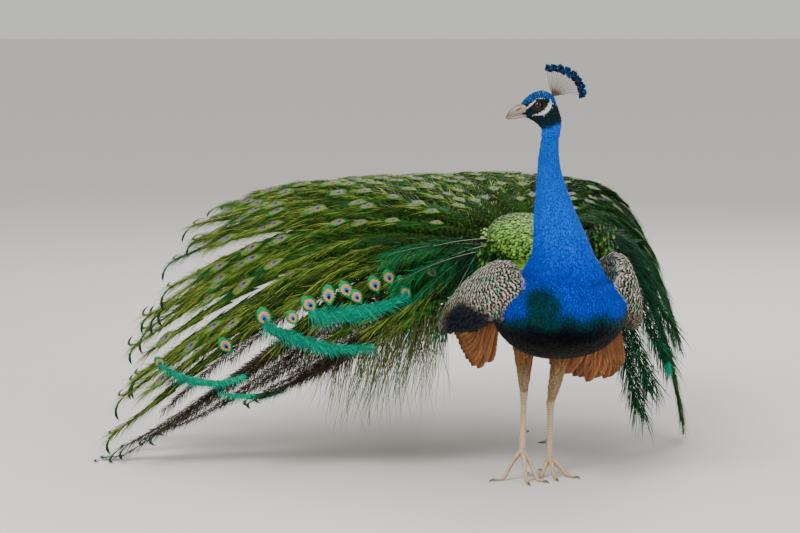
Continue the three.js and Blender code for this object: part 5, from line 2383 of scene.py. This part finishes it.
def shared(points: list[Shape], pieces: int) -> list[Shape]:
    """Points of many feathers shared out over a few pieces."""
    return [joined(points[i::pieces]) for i in range(pieces)]


@dataclass
class Train:
    """The long eyed feathers, in tiers over the fan, with loose barbs along their shafts."""

    fan: Fan = field(default_factory=Fan)
    # how far out each tier ends, and how many feathers it has
    tiers: Rows = (
        (0.19, 17),
        (0.27, 20),
        (0.35, 22),
        (0.44, 23),
        (0.53, 24),
        (0.62, 24),
        (0.71, 24),
        (0.80, 23),
        (0.88, 22),
        (0.955, 28),
    )
    # more feathers: between two bearings, between two shares of the reach, and how many
    more: Rows = (
        (80, 97, 0.66, 0.985, 16),
        (46, 74, 0.66, 0.99, 26),
        (-40, -10, 0.7, 0.985, 8),
        (-6, 34, 0.6, 0.97, 12),
    )
    first: float = -44
    last: float = 97
    steps: int = 30
    seed: int = 9

    def feathers(self) -> tuple[np.ndarray, np.ndarray, np.ndarray]:
        """The bearing and reach of each feather, and a tone for each."""
        chance = np.random.default_rng(self.seed)
        bearing, reach = [], []
        for i, (share, count) in enumerate(self.tiers):
            at = (np.arange(int(count)) + (0.25 if i % 2 else 0.75)) / count
            bearing.append(self.first + (self.last - self.first) * at + chance.normal(0, 1.2, int(count)))
            reach.append(np.clip(share + chance.normal(0, 0.02, int(count)), 0.16, 0.985))
        for first, last, near, far, count in self.more:
            bearing.append(chance.uniform(first, last, int(count)))
            reach.append(chance.uniform(near, far, int(count)))
        bearing, reach = np.clip(
            np.concatenate(bearing), self.first - 1, self.last + 1
        ), np.concatenate(reach)
        return bearing, reach, chance.uniform(0, 1, len(reach))

    def build(self, frame: Frame, quills: Tree, setting: Tree) -> None:
        """Makes the shafts, the eyed ends, the barbs and the dark layer of painted shade under them."""
        chance = np.random.default_rng(self.seed + 1)
        bearing, reach, tone = self.feathers()
        t = np.linspace(0, 1, self.steps)
        drift = chance.normal(0, 1.6, len(reach))[:, None] * np.sin(np.pi * t * 0.9)
        bearings = bearing[:, None] + drift
        point, along, _, over = self.fan.frame(bearings, reach[:, None] * (0.03 + 0.97 * t))
        lift = (0.002 + 0.016 * (1 - reach))[:, None] * np.sin(np.pi * np.clip(t * 1.4, 0, 0.5))
        paths = point + over * lift[..., None]
        # the tips of the upper feathers bow down past the surface's end
        bow = (
            0.030 * smoothstep(0.8, 1.0, reach)[:, None] * smoothstep(0.72, 1.0, t)
            * chance.uniform(0.0, 1.0, (len(reach), 1))
        )
        paths[..., 2] = np.maximum(paths[..., 2] - bow, 0.006)
        level = unit(over * 0.62 + UP * 0.36 - np.array([0, 0.11, 0]))
        nodes = [f"train_feather_{i + 1:02d}" for i in range(26)]
        shaft_finish = TintedFinish("train_shaft", 0.45).material()
        pale = np.maximum(smoothstep(0.25, 0.8, t), smoothstep(0.8, 0.55, reach)[:, None])
        tint = mixed(SHAFT_PALE, linear(88, 76, 50), pale)
        lines = lines_along(paths[:, :-1], (0.0013 - 0.0009 * t)[:-1], tint[:, :-1])
        shafts = quills.dress(
            lines.made("train_lines"), "train_shafts", Sides=5, Patch=0.0, Material=shaft_finish
        )
        frame.settle(shafts, "train_feathers", shaft_finish, *nodes)
        self.webs(frame, paths, level, reach, bearing, chance)
        self.eyes(frame, setting, bearing, reach, tone, paths, level, chance)
        self.loose_barbs(frame, setting, bearing, reach, tone, paths, level, chance)
        self.forked_tips(frame, reach, paths, level, chance)

    def webs(
        self,
        frame: Frame,
        paths: np.ndarray,
        face: np.ndarray,
        reach: np.ndarray,
        bearing: np.ndarray,
        chance: np.random.Generator,
    ) -> None:
        """Lays a narrow dark web under the barbs of each feather: a sheet of painted shade that stands for the
        shade between the overlapping barbs.
        """
        blades = []
        web = Vane(26, 2, flight, 0.1, 0.0, 0.03, 0.5).shape()
        for path, over, out, turn in zip(paths, face, reach, bearing):
            if turn > 78 and out > 0.6:
                continue
            _, across, over = axes_along(path, np.cross(path[-1] - path[0], over))
            width = (0.068 - 0.020 * out) * np.ones(len(path))
            blade = laid(web, path - over * 0.0012, across, over, width)
            own = np.full(len(blade.points), chance.uniform())
            # dark olive to dark green: painted shade under the barbs
            dark = mixed(linear(36, 42, 18) + 0 * blade.points, linear(36, 82, 28) + 0 * blade.points, own)
            blade.carried["tint"] = dark
            blades.append(blade)
        finish = Feathering(
            "train_web", 0.0, 0.7, root=0.6, tip=1.1, spread=0.6, barbs=70, shine=0.0
        ).material()
        frame.settle(with_bake_map(toned(blades, chance).made("train_webs")), "train_feathers", finish)

    def eyes(
        self,
        frame: Frame,
        setting: Tree,
        bearing: np.ndarray,
        reach: np.ndarray,
        tone: np.ndarray,
        paths: np.ndarray,
        face: np.ndarray,
        chance: np.random.Generator,
    ) -> None:
        """Sets an eyed leaf near each feather's end, except where the ends fork or hang plain."""
        eyed = (reach < 0.9) & ~((bearing > 68) & (reach < 0.62)) & (bearing > -30) & (bearing < 76)
        way = unit(paths[:, -1] - paths[:, -4])[eyed]
        at, over = paths[eyed, -3], face[eyed, -3]
        length = (0.038 + 0.024 * smoothstep(0.2, 0.6, reach[eyed])) * chance.uniform(0.9, 1.08, eyed.sum())
        tint = mixed(BARB_GREEN * 0.8, BARB_GOLD * 0.55, 0.8 * tone[eyed])
        leaf = Vane(18, 6, pointed, 0.10, 0.06, 0.02, 0.34).shape()
        points = placed(
            at - way * 0.016 + over * 0.003,
            way,
            over,
            length,
            0.68 * length,
            tint,
            chance,
            eye_size=np.full(len(at), 0.84),
        )
        points.carried["tone"] *= 0.85
        finish = EyedFeathering("train_eye").material()
        side = SideEyes().points(chance)
        points = joined([points, side])
        row = int(np.ceil(np.sqrt(len(points.points))))
        index = np.arange(len(points.points))
        points.carried["root_place"] = np.stack(
            [(index % row + 0.5) / row, (index // row + 0.5) / row, 0 * index], 1
        )
        piece = set_pieces(setting, points, leaf, "train_eyes", finish, patch=0.055)
        frame.settle(piece, "train_feathers", finish)

    def loose_barbs(
        self,
        frame: Frame,
        setting: Tree,
        bearing: np.ndarray,
        reach: np.ndarray,
        tone: np.ndarray,
        paths: np.ndarray,
        face: np.ndarray,
        chance: np.random.Generator,
    ) -> None:
        """Sets loose barbs along both sides of each shaft, and a brush of bright ones at its end."""
        common = Barbing(
            0.0052,
            (0.036, 0.052),
            (46, 26),
            0.008,
            0.0016,
            linear(24, 24, 11),
            linear(76, 124, 40),
            (0.1, 0.65),
            0.28,
        )
        low = Barbing(
            0.0034,
            (0.036, 0.026),
            (58, 50),
            0.014,
            0.0017,
            linear(14, 12, 7),
            linear(64, 50, 24),
            (0.1, 0.7),
            0.3,
        )
        right = Barbing(
            0.0054,
            (0.042, 0.056),
            (44, 24),
            0.020,
            0.0017,
            linear(24, 22, 12),
            linear(34, 84, 42),
            (0.1, 0.7),
            0.25,
        )
        brush = Barbing(
            0.0040, (0.046, 0.062), (34, 9), 0.016, 0.0015, linear(32, 60, 18), BARB_GOLD, (0.3, 0.8), 0.62
        )
        emerald = Barbing(
            0.0042,
            (0.046, 0.060),
            (36, 9),
            0.016,
            0.0015,
            linear(8, 44, 22),
            BARB_EMERALD,
            (0.3, 0.8),
            0.62,
        )
        deep = Barbing(
            0.0046,
            (0.050, 0.064),
            (34, 10),
            0.024,
            0.0016,
            linear(14, 34, 16),
            linear(60, 128, 62),
            (0.1, 0.8),
            0.60,
        )
        under, outer = [], []
        for i, (turn, out) in enumerate(zip(bearing, reach)):
            column = (i + 0.5) / len(reach)
            kind = right if turn < -8 else low if turn > 78 and out > 0.6 else common
            under.append(kind.along(paths[i], face[i], column, chance))
            if kind is not low:
                kind = (
                    (emerald if tone[i] > 0.8 else deep) if turn < -8 else emerald if tone[i] > 0.78
                    else brush
                )
                outer.append(kind.along(paths[i], face[i], column, chance))
        finish = Feathering("train_barb", 0.45, 0.45, root=0.4, tip=1.6, spread=0.7, barbs=3).material()
        strands(
            setting, shared(under, 3), "train_barbs", "train_feathers", finish, frame, steps=2, bend=0.2
        )
        strands(
            setting, shared(outer, 2), "train_brush", "train_feathers", finish, frame, steps=2, bend=0.3
        )

    def forked_tips(
        self,
        frame: Frame,
        reach: np.ndarray,
        paths: np.ndarray,
        face: np.ndarray,
        chance: np.random.Generator,
    ) -> None:
        """Lays two curved blades at each of the longest feathers' ends, like a fish's tail."""
        blades = []
        blade = Vane(10, 2, flight, 0.1, 0.0, 0.04, 0.2).shape()
        t = np.linspace(0, 1, 10)[:, None]
        for path, over in zip(paths[reach > 0.9], face[reach > 0.9]):
            way = unit(path[-1] - path[-3])
            side = unit(np.cross(way, over[-1]))
            for hand in (-1.0, 1.0):
                size = 0.056 * chance.uniform(0.6, 1.2)
                ends = [
                    path[-1] - way * 0.012,
                    path[-1] + way * size * 0.45,
                    path[-1] + (side * hand * 0.5 + way * 0.62) * size,
                ]
                ends.append(path[-1] + (side * hand * 0.95 + way * 0.25) * size - UP * 0.012)
                curve = bezier(*ends, t[:, 0])
                curve[:, 2] = np.maximum(curve[:, 2], 0.004)
                along, across, up = axes_along(curve, np.cross(way, over[-1]) + way * 0.01)
                laid_blade = laid(blade, curve, np.cross(over[-1], along), over[-1] + 0 * along, 0.007)
                v = laid_blade.carried["vane"][:, 1]
                tint = mixed(
                    BARB_GREEN * 0.8 + 0 * laid_blade.points,
                    linear(14, 24, 14) + 0 * laid_blade.points,
                    smoothstep(0.3, 0.9, v),
                )
                laid_blade.carried["tint"] = tint
                blades.append(laid_blade)
        finish = Feathering("train_fork", 0.4, 0.5, root=0.8, tip=1.1, barbs=20).material()
        frame.settle(with_bake_map(toned(blades, chance).made("train_forks")), "train_feathers", finish)


@dataclass
class SideEyes:
    """The eyes at the train's near edge, whose faces look ahead; x, y, z and length in millimetres."""

    places: Rows = (
        (-555, 195, 301, 50),
        (-494, 151, 306, 38),
        (-459, 154, 333, 48),
        (-420, 143, 353, 50),
        (-384, 134, 366, 46),
        (-362, 111, 354, 40),
        (-325, 111, 379, 44),
        (-296, 109, 394, 40),
        (-270, 91, 385, 36),
        (-262, 75, 367, 34),
        (-636, 214, 240, 44),
        (-782, 325, 189, 34),
        (-209, 85, 408, 34),
    )

    def points(self, chance: np.random.Generator) -> Shape:
        """The eyes as points for the setting tree."""
        rows = np.array(self.places) * MM
        way = np.array([-0.55, 0.1, 0.85]) + chance.normal(0, 0.22, (len(rows), 3))
        face = np.array([-0.15, -1.0, 0.2]) + chance.normal(0, 0.18, (len(rows), 3))
        at = rows[:, :3] - unit(way) * rows[:, 3:] * 0.5
        size = np.full(len(rows), 0.98)
        points = placed(
            at, way, face, rows[:, 3], rows[:, 3] * 0.80, BARB_EMERALD + 0 * at, chance, eye_size=size
        )
        points.carried["tone"] = 1 + 0 * size
        return points


@dataclass
class TealBands:
    """The dense turquoise webs of the side feathers; x, y, z and width in millimetres."""

    bands: tuple[Rows, ...] = (
        (
            (-556, 196, 294, 26),
            (-538, 168, 279, 30),
            (-500, 135, 271, 30),
            (-451, 95, 258, 28),
            (-404, 63, 254, 26),
            (-332, 40, 258, 16),
        ),
        (
            (-462, 140, 322, 22),
            (-430, 126, 312, 34),
            (-380, 104, 322, 40),
            (-330, 84, 330, 36),
            (-262, 72, 358, 18),
        ),
        (
            (-786, 323, 187, 14),
            (-736, 247, 172, 20),
            (-693, 200, 167, 20),
            (-643, 157, 170, 18),
            (-592, 131, 187, 12),
        ),
        ((-650, 141, 151, 8), (-589, 95, 152, 15), (-543, 80, 157, 15), (-508, 70, 170, 9)),
        ((250, 206, 256, 8), (268, 200, 238, 18), (276, 196, 214, 20), (282, 190, 188, 10)),
    )

    def build(self, frame: Frame, setting: Tree) -> None:
        """Makes each band's web and the short dense barbs over it."""
        chance = np.random.default_rng(17)
        webs, points = [], []
        blade = Vane(24, 4, flight, 0.12, 0.0, 0.02, 0.16).shape()
        for i, rows in enumerate(self.bands):
            table = np.array(rows, float) * MM
            keyed = np.column_stack([np.linspace(0, 1, len(table)), table])
            read = read_rows(keyed, np.linspace(0, 1, 40))
            path, width = read[:, :3], read[:, 3]
            face = np.array([-0.1, -1.0, 0.35])
            _, across, over = axes_along(path, np.cross(path[-1] - path[0], face))
            web = laid(blade, path, across, over, width * 0.75)
            web.carried["tint"] = mixed(BARB_TEAL, BARB_EMERALD, web.carried["vane"][:, 1] * 0.7)
            webs.append(web)
            long = float(width.mean())
            short = Barbing(
                0.0017,
                (long * 0.95, long * 0.75),
                (40, 26),
                0.010,
                0.0012,
                linear(4, 130, 122),
                linear(28, 236, 178),
                (0.5, 0.5),
                0.0,
                16,
            )
            for k in range(2):
                shift = across * width[:, None] * (0.16, -0.2)[k] + over * (0.0016 + 0.001 * k)
                points.append(short.along(path + shift, over, (2 * i + k + 0.5) / 10, chance))
        finish = Feathering("teal_web", 0.4, 0.45, root=0.9, tip=1.2, spread=0.6, barbs=60).material()
        frame.settle(with_bake_map(toned(webs, chance).made("teal_webs")), "train_feathers", finish)
        strands(setting, [joined(points)], "teal_barbs", "train_feathers", finish, frame, bend=0.2)


@dataclass(frozen=True)
class Plume:
    """Loose long-barbed feathers from one root; places in millimetres.

    Attributes:
        name: What the plume's pieces are called.
        root: Where the shafts start.
        ends: Where each shaft ends.
        arch: How far the shafts rise above the straight line.
        barbing: How the barbs stand.
        shaft: The colour of the shafts.
        repeat: How many shafts go to each end.
    """

    name: str
    root: tuple[float, float, float]
    ends: Rows
    arch: float
    barbing: Barbing
    shaft: np.ndarray
    repeat: int = 3

    def build(self, frame: Frame, quills: Tree, setting: Tree) -> None:
        """Makes the shafts and their barbs."""
        chance = np.random.default_rng(len(self.name) + 40)
        ends = np.repeat(np.array(self.ends, float), self.repeat, axis=0)
        ends = (ends + chance.normal(0, 9, ends.shape)) * MM
        start = np.array(self.root) * MM + chance.normal(0, 0.008, ends.shape)
        t = np.linspace(0, 1, 20)
        rise = UP * self.arch * MM
        paths = bezier(
            start,
            start + (ends - start) * 0.33 + rise,
            start + (ends - start) * 0.7 + rise * 1.1,
            ends,
            t[:, None],
        )
        paths = np.moveaxis(paths, 0, 1)
        paths[..., 2] = np.maximum(paths[..., 2], 0.006)
        finish = TintedFinish(f"{self.name}_shaft", 0.45).material()
        lines = lines_along(paths, 0.0008 - 0.0005 * t, self.shaft)
        shafts = quills.dress(
            lines.made(f"{self.name}_lines"), f"{self.name}_shafts", Sides=5, Patch=0.0, Material=finish
        )
        frame.settle(shafts, "train_feathers", finish)
        face = np.array([-0.1, -1.0, 0.4])
        points = [self.barbing.along(path, face + 0 * path, (i + 0.5) / len(paths), chance) for i, path in enumerate(paths)]
        barb = Feathering(
            f"{self.name}_barb", 0.45, 0.45, root=0.5, tip=1.2, spread=0.6, barbs=3
        ).material()
        strands(setting, [joined(points)], f"{self.name}_barbs", "train_feathers", barb, frame)


@dataclass
class Fringe:
    """The long single barbs that hang from the train's near edge; places in millimetres."""

    edge: Rows = (
        (0, -560, 190, 262, 70),
        (1, -500, 150, 250, 80),
        (2, -417, 91, 244, 120),
        (3, -376, 73, 250, 150),
        (4, -331, 60, 262, 170),
        (5, -284, 64, 292, 190),
        (6, -244, 69, 322, 200),
        (7, -209, 73, 342, 200),
        (8, -180, 76, 340, 190),
    )
    count: int = 620

    def build(self, frame: Frame, setting: Tree) -> None:
        """Hangs the barbs."""
        chance = np.random.default_rng(23)
        where = np.sort(chance.beta(1.6, 1.0, self.count)) * 8
        x, y, z, long = read_rows(self.edge, where).T * MM
        at = np.stack([x, y, z], 1) + chance.normal(0, 1, (self.count, 3)) * (0.010, 0.014, 0.010)
        to = np.array([-0.22, -0.02, -1.0]) + chance.normal(0, 1, (self.count, 3)) * (0.16, 0.10, 0.04)
        length = np.minimum(long * chance.uniform(0.35, 1.1, self.count), at[:, 2] - 0.012)
        tint = mixed(linear(38, 40, 20), linear(120, 128, 66), chance.uniform(0, 1, self.count))
        tint = mixed(tint, BARB_GREEN, 0.8 * (chance.uniform(0, 1, self.count) > 0.75))
        hand = np.where(chance.uniform(0, 1, self.count) > 0.35, 1.0, -1.0)[:, None]
        points = placed(
            at,
            to,
            hand * np.array([0, -1.0, 0]) + 0 * at,
            length,
            np.full(self.count, 0.0011),
            tint,
            chance,
        )
        points.carried["size"][:, 2] = 0.0011
        points.carried["hang"] = 0 * length
        finish = Feathering("fringe_barb", 0.2, 0.55, root=0.9, tip=1.1, spread=0.5, barbs=2).material()
        strands(setting, [points], "train_fringe", "train_feathers", finish, frame, steps=6, bend=0.14)


def pointed(t: np.ndarray) -> np.ndarray:
    """Half the width of an eyed feather's leaf, widest past its middle."""
    return 0.5 * smoothstep(-0.05, 0.55, t) * np.sqrt(
        np.clip(1 - np.clip((t - 0.5) / 0.5, 0, 1) ** 2.0, 0, 1)
    ) + 0.015


@dataclass
class RumpScales:
    """The rounded green-gold feathers that cover the roots of the train."""

    fan: Fan = field(default_factory=Fan)
    rows: int = 15
    reach: float = 0.17

    def build(self, frame: Frame, setting: Tree) -> None:
        """Lays the feathers in overlapping rows over the fan."""
        chance = np.random.default_rng(31)
        at, way, face, size, tint = [], [], [], [], []
        for row in range(self.rows):
            share = 0.005 + self.reach * (row / (self.rows - 1)) ** 1.1
            grow = row / (self.rows - 1)
            spacing = 0.009 + 0.008 * grow
            radius = float(np.linalg.norm(self.fan.at(40.0, share)[:2] - np.array(self.fan.centre)[:2]))
            count = int(np.radians(146) * radius / spacing)
            bearing = (
                -46 + 146 * (np.arange(count) + 0.5 * (row % 2)) / count + chance.normal(0, 0.8, count)
            )
            point, along, _, over = self.fan.frame(
                bearing, np.full(count, share) + chance.normal(0, 0.004, count)
            )
            at.append(point + over * (0.014 - 0.008 * grow))
            way.append(along + over * 0.10 + chance.normal(0, 0.06, along.shape))
            face.append(over)
            size.append((0.015 + 0.015 * grow) * chance.uniform(0.85, 1.15, count))
            base = mixed(
                SCALE_GREEN,
                BARB_GREEN,
                np.clip(0.7 * grow + 0.1 + chance.normal(0, 0.28, count), 0, 1) * 0.8,
            )
            tint.append(mixed(base, SCALE_BRONZE, smoothstep(50, 95, bearing) * 0.7))
        at, way, face, size, tint = (np.concatenate(each) for each in (at, way, face, size, tint))
        finish = Feathering(
            "rump_scale", 0.6, 0.36, root=0.12, tip=1.35, spread=1.0, rim=0.7, barbs=12
        ).material()
        leaf = Vane(6, 4, broad, 0.12, 0.08, 0.03, 0.04).shape()
        points = joined(
            [
                placed(at, way, face, size, size * 0.72, tint, chance),
                *(self.shoulder(side, chance) for side in (-1, 1)),
            ]
        )
        frame.settle(
            set_pieces(setting, points, leaf, "rump_scales", finish, patch=0.012), "back_feathers", finish
        )

    @staticmethod
    def shoulder(side: int, chance: np.random.Generator) -> Shape:
        """The long green feathers between a wing and the back, on the bird's left for 1 and its right for -1."""
        count = 260
        middle = np.array([-0.080, 0.052, 0.446] if side < 0 else [0.128, 0.100, 0.462])
        reach = np.array([0.026, 0.026, 0.024] if side < 0 else [0.030, 0.030, 0.034])
        at = middle + reach * np.clip(chance.normal(0, 0.55, (count, 3)), -1.2, 1.2)
        way = np.array([0.45 * side, 0.35, -0.9]) + chance.normal(0, 0.16, (count, 3))
        face = np.array([0.35 * side, -0.85, 0.4]) + chance.normal(0, 0.12, (count, 3))
        size = chance.uniform(0.011, 0.017, count)
        tint = mixed(SCALE_GREEN * 0.7, BARB_EMERALD * 0.6, chance.uniform(0, 1, count))
        return placed(at, way, face, size, size * 0.55, tint, chance)


def main() -> None:
    """Builds the bird in its studio."""
    logging.basicConfig(level=logging.INFO, format="%(message)s")
    frame = Frame()
    Studio().build(frame)
    coat, setting, quills = coat_tree(), setting_tree(), quill_tree()
    skin = Skin()
    body = skin.build()
    blue = Feathering("blue_plumage", 0.82, 0.46, root=0.62, tip=1.3, spread=0.34)
    coats = (
        Coat(
            "head",
            "neck_plumage",
            Feathering("head_plumage", 0.6, 0.5, root=0.3, tip=1.7, spread=1.1),
            0.0021,
            0.66,
            0.26,
            0.12,
        ),
        Coat("neck", "neck_plumage", blue, 0.0029, 0.55, 0.08, 0.10),
        Coat("breast", "body_plumage", blue, 0.0036, 0.55, 0.08, 0.10),
        Coat(
            "body",
            "body_plumage",
            Feathering("body_plumage", 0.85, 0.5, root=0.6, tip=1.1, spread=0.5),
            0.0066,
            0.6,
            0.10,
            0.10,
        ),
        Coat(
            "wings",
            "wing_coverts",
            BarredFeathering("barred_coverts", 0.05, 0.6, root=0.85, tip=1.15, spread=0.3),
            0.0058,
            0.66,
            0.10,
            0.10,
            broad,
            4,
        ),
        Coat(
            "quills",
            "dark_quills",
            Feathering("dark_coverts", 0.3, 0.45, root=0.8, tip=1.2),
            0.0075,
            0.55,
            0.10,
            0.06,
            broad,
            4,
        ),
        Coat(
            "thighs",
            "leg_feathers",
            Feathering("thigh_feathers", 0.0, 0.7, root=0.8, tip=1.1, spread=0.4),
            0.0036,
            0.5,
            0.10,
            0.14,
        ),
        Coat(
            "rump",
            "back_feathers",
            Feathering("rump_feathers", 0.5, 0.4, root=0.1, tip=1.2, spread=0.9, rim=0.8),
            0.0050,
            0.75,
            0.14,
            0.10,
            broad,
        ),
    )
    for each in coats:
        each.build(frame, body, coat)
    # the skin under the coats is painted at 0.6 of its tint: painted shade in the gaps between the feathers
    shaded_skin_finish = TintedFinish("skin_under", 0.7, grain=900, depth=0.0002, light=0.6, shine=0.1).material()
    flesh = ("trunk", "neck", "head", "wing_right", "wing_left", "thigh_right", "thigh_left", "train_base")
    frame.settle(body, "body_plumage", shaded_skin_finish, *flesh)
    Eyes().build(frame, skin.head)
    Bill().build(frame)
    Crest().build(frame, quills, setting)
    scales = TintedFinish("leg_scale", 0.55, cells=420, grain=600, depth=0.0004, mottle=0.3).material()
    horn = TintedFinish("claw_horn", 0.35, grain=800, depth=0.0001).material()
    legs = (
        Leg(
            "right",
            (-22, 74, 163),
            (-28, -4, 58),
            ((-23, 22, 94), (-12, 40, 90)),
            {
                "inner": (14, -54, 30),
                "middle": (-19, -80, 32),
                "outer": (-84, -40, 30),
                "hind": (-16, 34, 22),
            },
        ),
        Leg(
            "left",
            (33, 92, 139),
            (29, 38, 34),
            ((28, 62, 66), (7, 70, 61)),
            {"inner": (4, -12, 15), "middle": (40, -34, 16), "outer": (78, -6, 15), "hind": (14, 70, 14)},
        ),
    )
    for leg in legs:
        leg.build(frame, scales, horn)
    navy = QuillVane(
        "dark_quill", linear(12, 14, 26), linear(20, 26, 44), linear(30, 26, 24), 0.3
    ).material()
    rufous = QuillVane(
        "rufous_quill", linear(172, 90, 36), linear(214, 146, 86), linear(110, 62, 30)
    ).material()
    brown = QuillVane(
        "tail_quill", linear(70, 56, 40), linear(112, 94, 70), linear(150, 130, 100)
    ).material()
    QuillFan(
        "quills_dark_right",
        "secondaries_right",
        (-86, -4, 380),
        (-120, 52, 292),
        (-188, 130, 306),
        (110, 125, 140, 150, 160, 170),
        0.034,
    ).build(frame, "dark_quills", navy)
    QuillFan(
        "quills_rufous_right",
        "primaries_right",
        (-72, 2, 366),
        (-92, 62, 226),
        (-180, 122, 262),
        (160, 184, 192, 186, 176, 170),
        0.038,
    ).build(frame, "rufous_quills", rufous)
    QuillFan(
        "quills_dark_left",
        "secondaries_left",
        (166, 0, 372),
        (166, 100, 296),
        (112, 178, 300),
        (126, 140, 155, 170, 183, 196),
        0.034,
    ).build(frame, "dark_quills", navy)
    QuillFan(
        "quills_rufous_left",
        "primaries_left",
        (158, 6, 356),
        (176, 62, 222),
        (14, 202, 186),
        (150, 176, 198, 218, 236, 252, 266, 278),
        0.040,
    ).build(frame, "rufous_quills", rufous)
    tail_first, tail_last = (
        tuple(
            (
                np.array([-0.020, 0.150, 0.440])
                + (outwards(np.array(b)) * math.cos(0.1396) + UP * math.sin(0.1396)) * 0.370
            )
            / MM
        )
        for b in (-24.0, 50.0)
    )
    QuillFan(
        "quills_tail",
        "tail",
        (-20, 150, 440),
        tail_first,
        tail_last,
        (320, 335, 350, 362, 370, 370, 362, 350, 335, 320),
        0.050,
    ).build(frame, "tail_quills", brown)
    Train().build(frame, quills, setting)
    RumpScales().build(frame, setting)
    TealBands().build(frame, setting)
    Fringe().build(frame, setting)
    emerald = Barbing(
        0.0036,
        (0.046, 0.040),
        (36, 20),
        0.022,
        0.0014,
        linear(4, 30, 18),
        linear(20, 160, 90),
        (0.1, 0.7),
        0.02,
    )
    shade = Barbing(
        0.0060,
        (0.050, 0.050),
        (36, 20),
        0.020,
        0.0019,
        linear(6, 18, 10),
        linear(8, 112, 66),
        (0.2, 0.6),
        0.02,
    )
    for plume in (
        Plume(
            "plume_right",
            (-92, 66, 462),
            ((-296, 92, 440), (-268, 72, 386), (-236, 58, 340), (-196, 50, 306)),
            14,
            emerald,
            linear(150, 152, 120),
            2,
        ),
        Plume(
            "plume_left",
            (108, 110, 466),
            (
                (200, 200, 440),
                (240, 230, 410),
                (266, 240, 360),
                (280, 225, 280),
                (284, 200, 210),
                (250, 190, 150),
                (215, 180, 110),
            ),
            34,
            shade,
            linear(70, 74, 50),
            3,
        ),
    ):
        plume.build(frame, quills, setting)
    for leftover in [each for each in bpy.data.objects if each.name.endswith("_lines")]:
        bpy.data.objects.remove(leftover)
    frame.write_size()


if __name__ == "__main__":
    main()
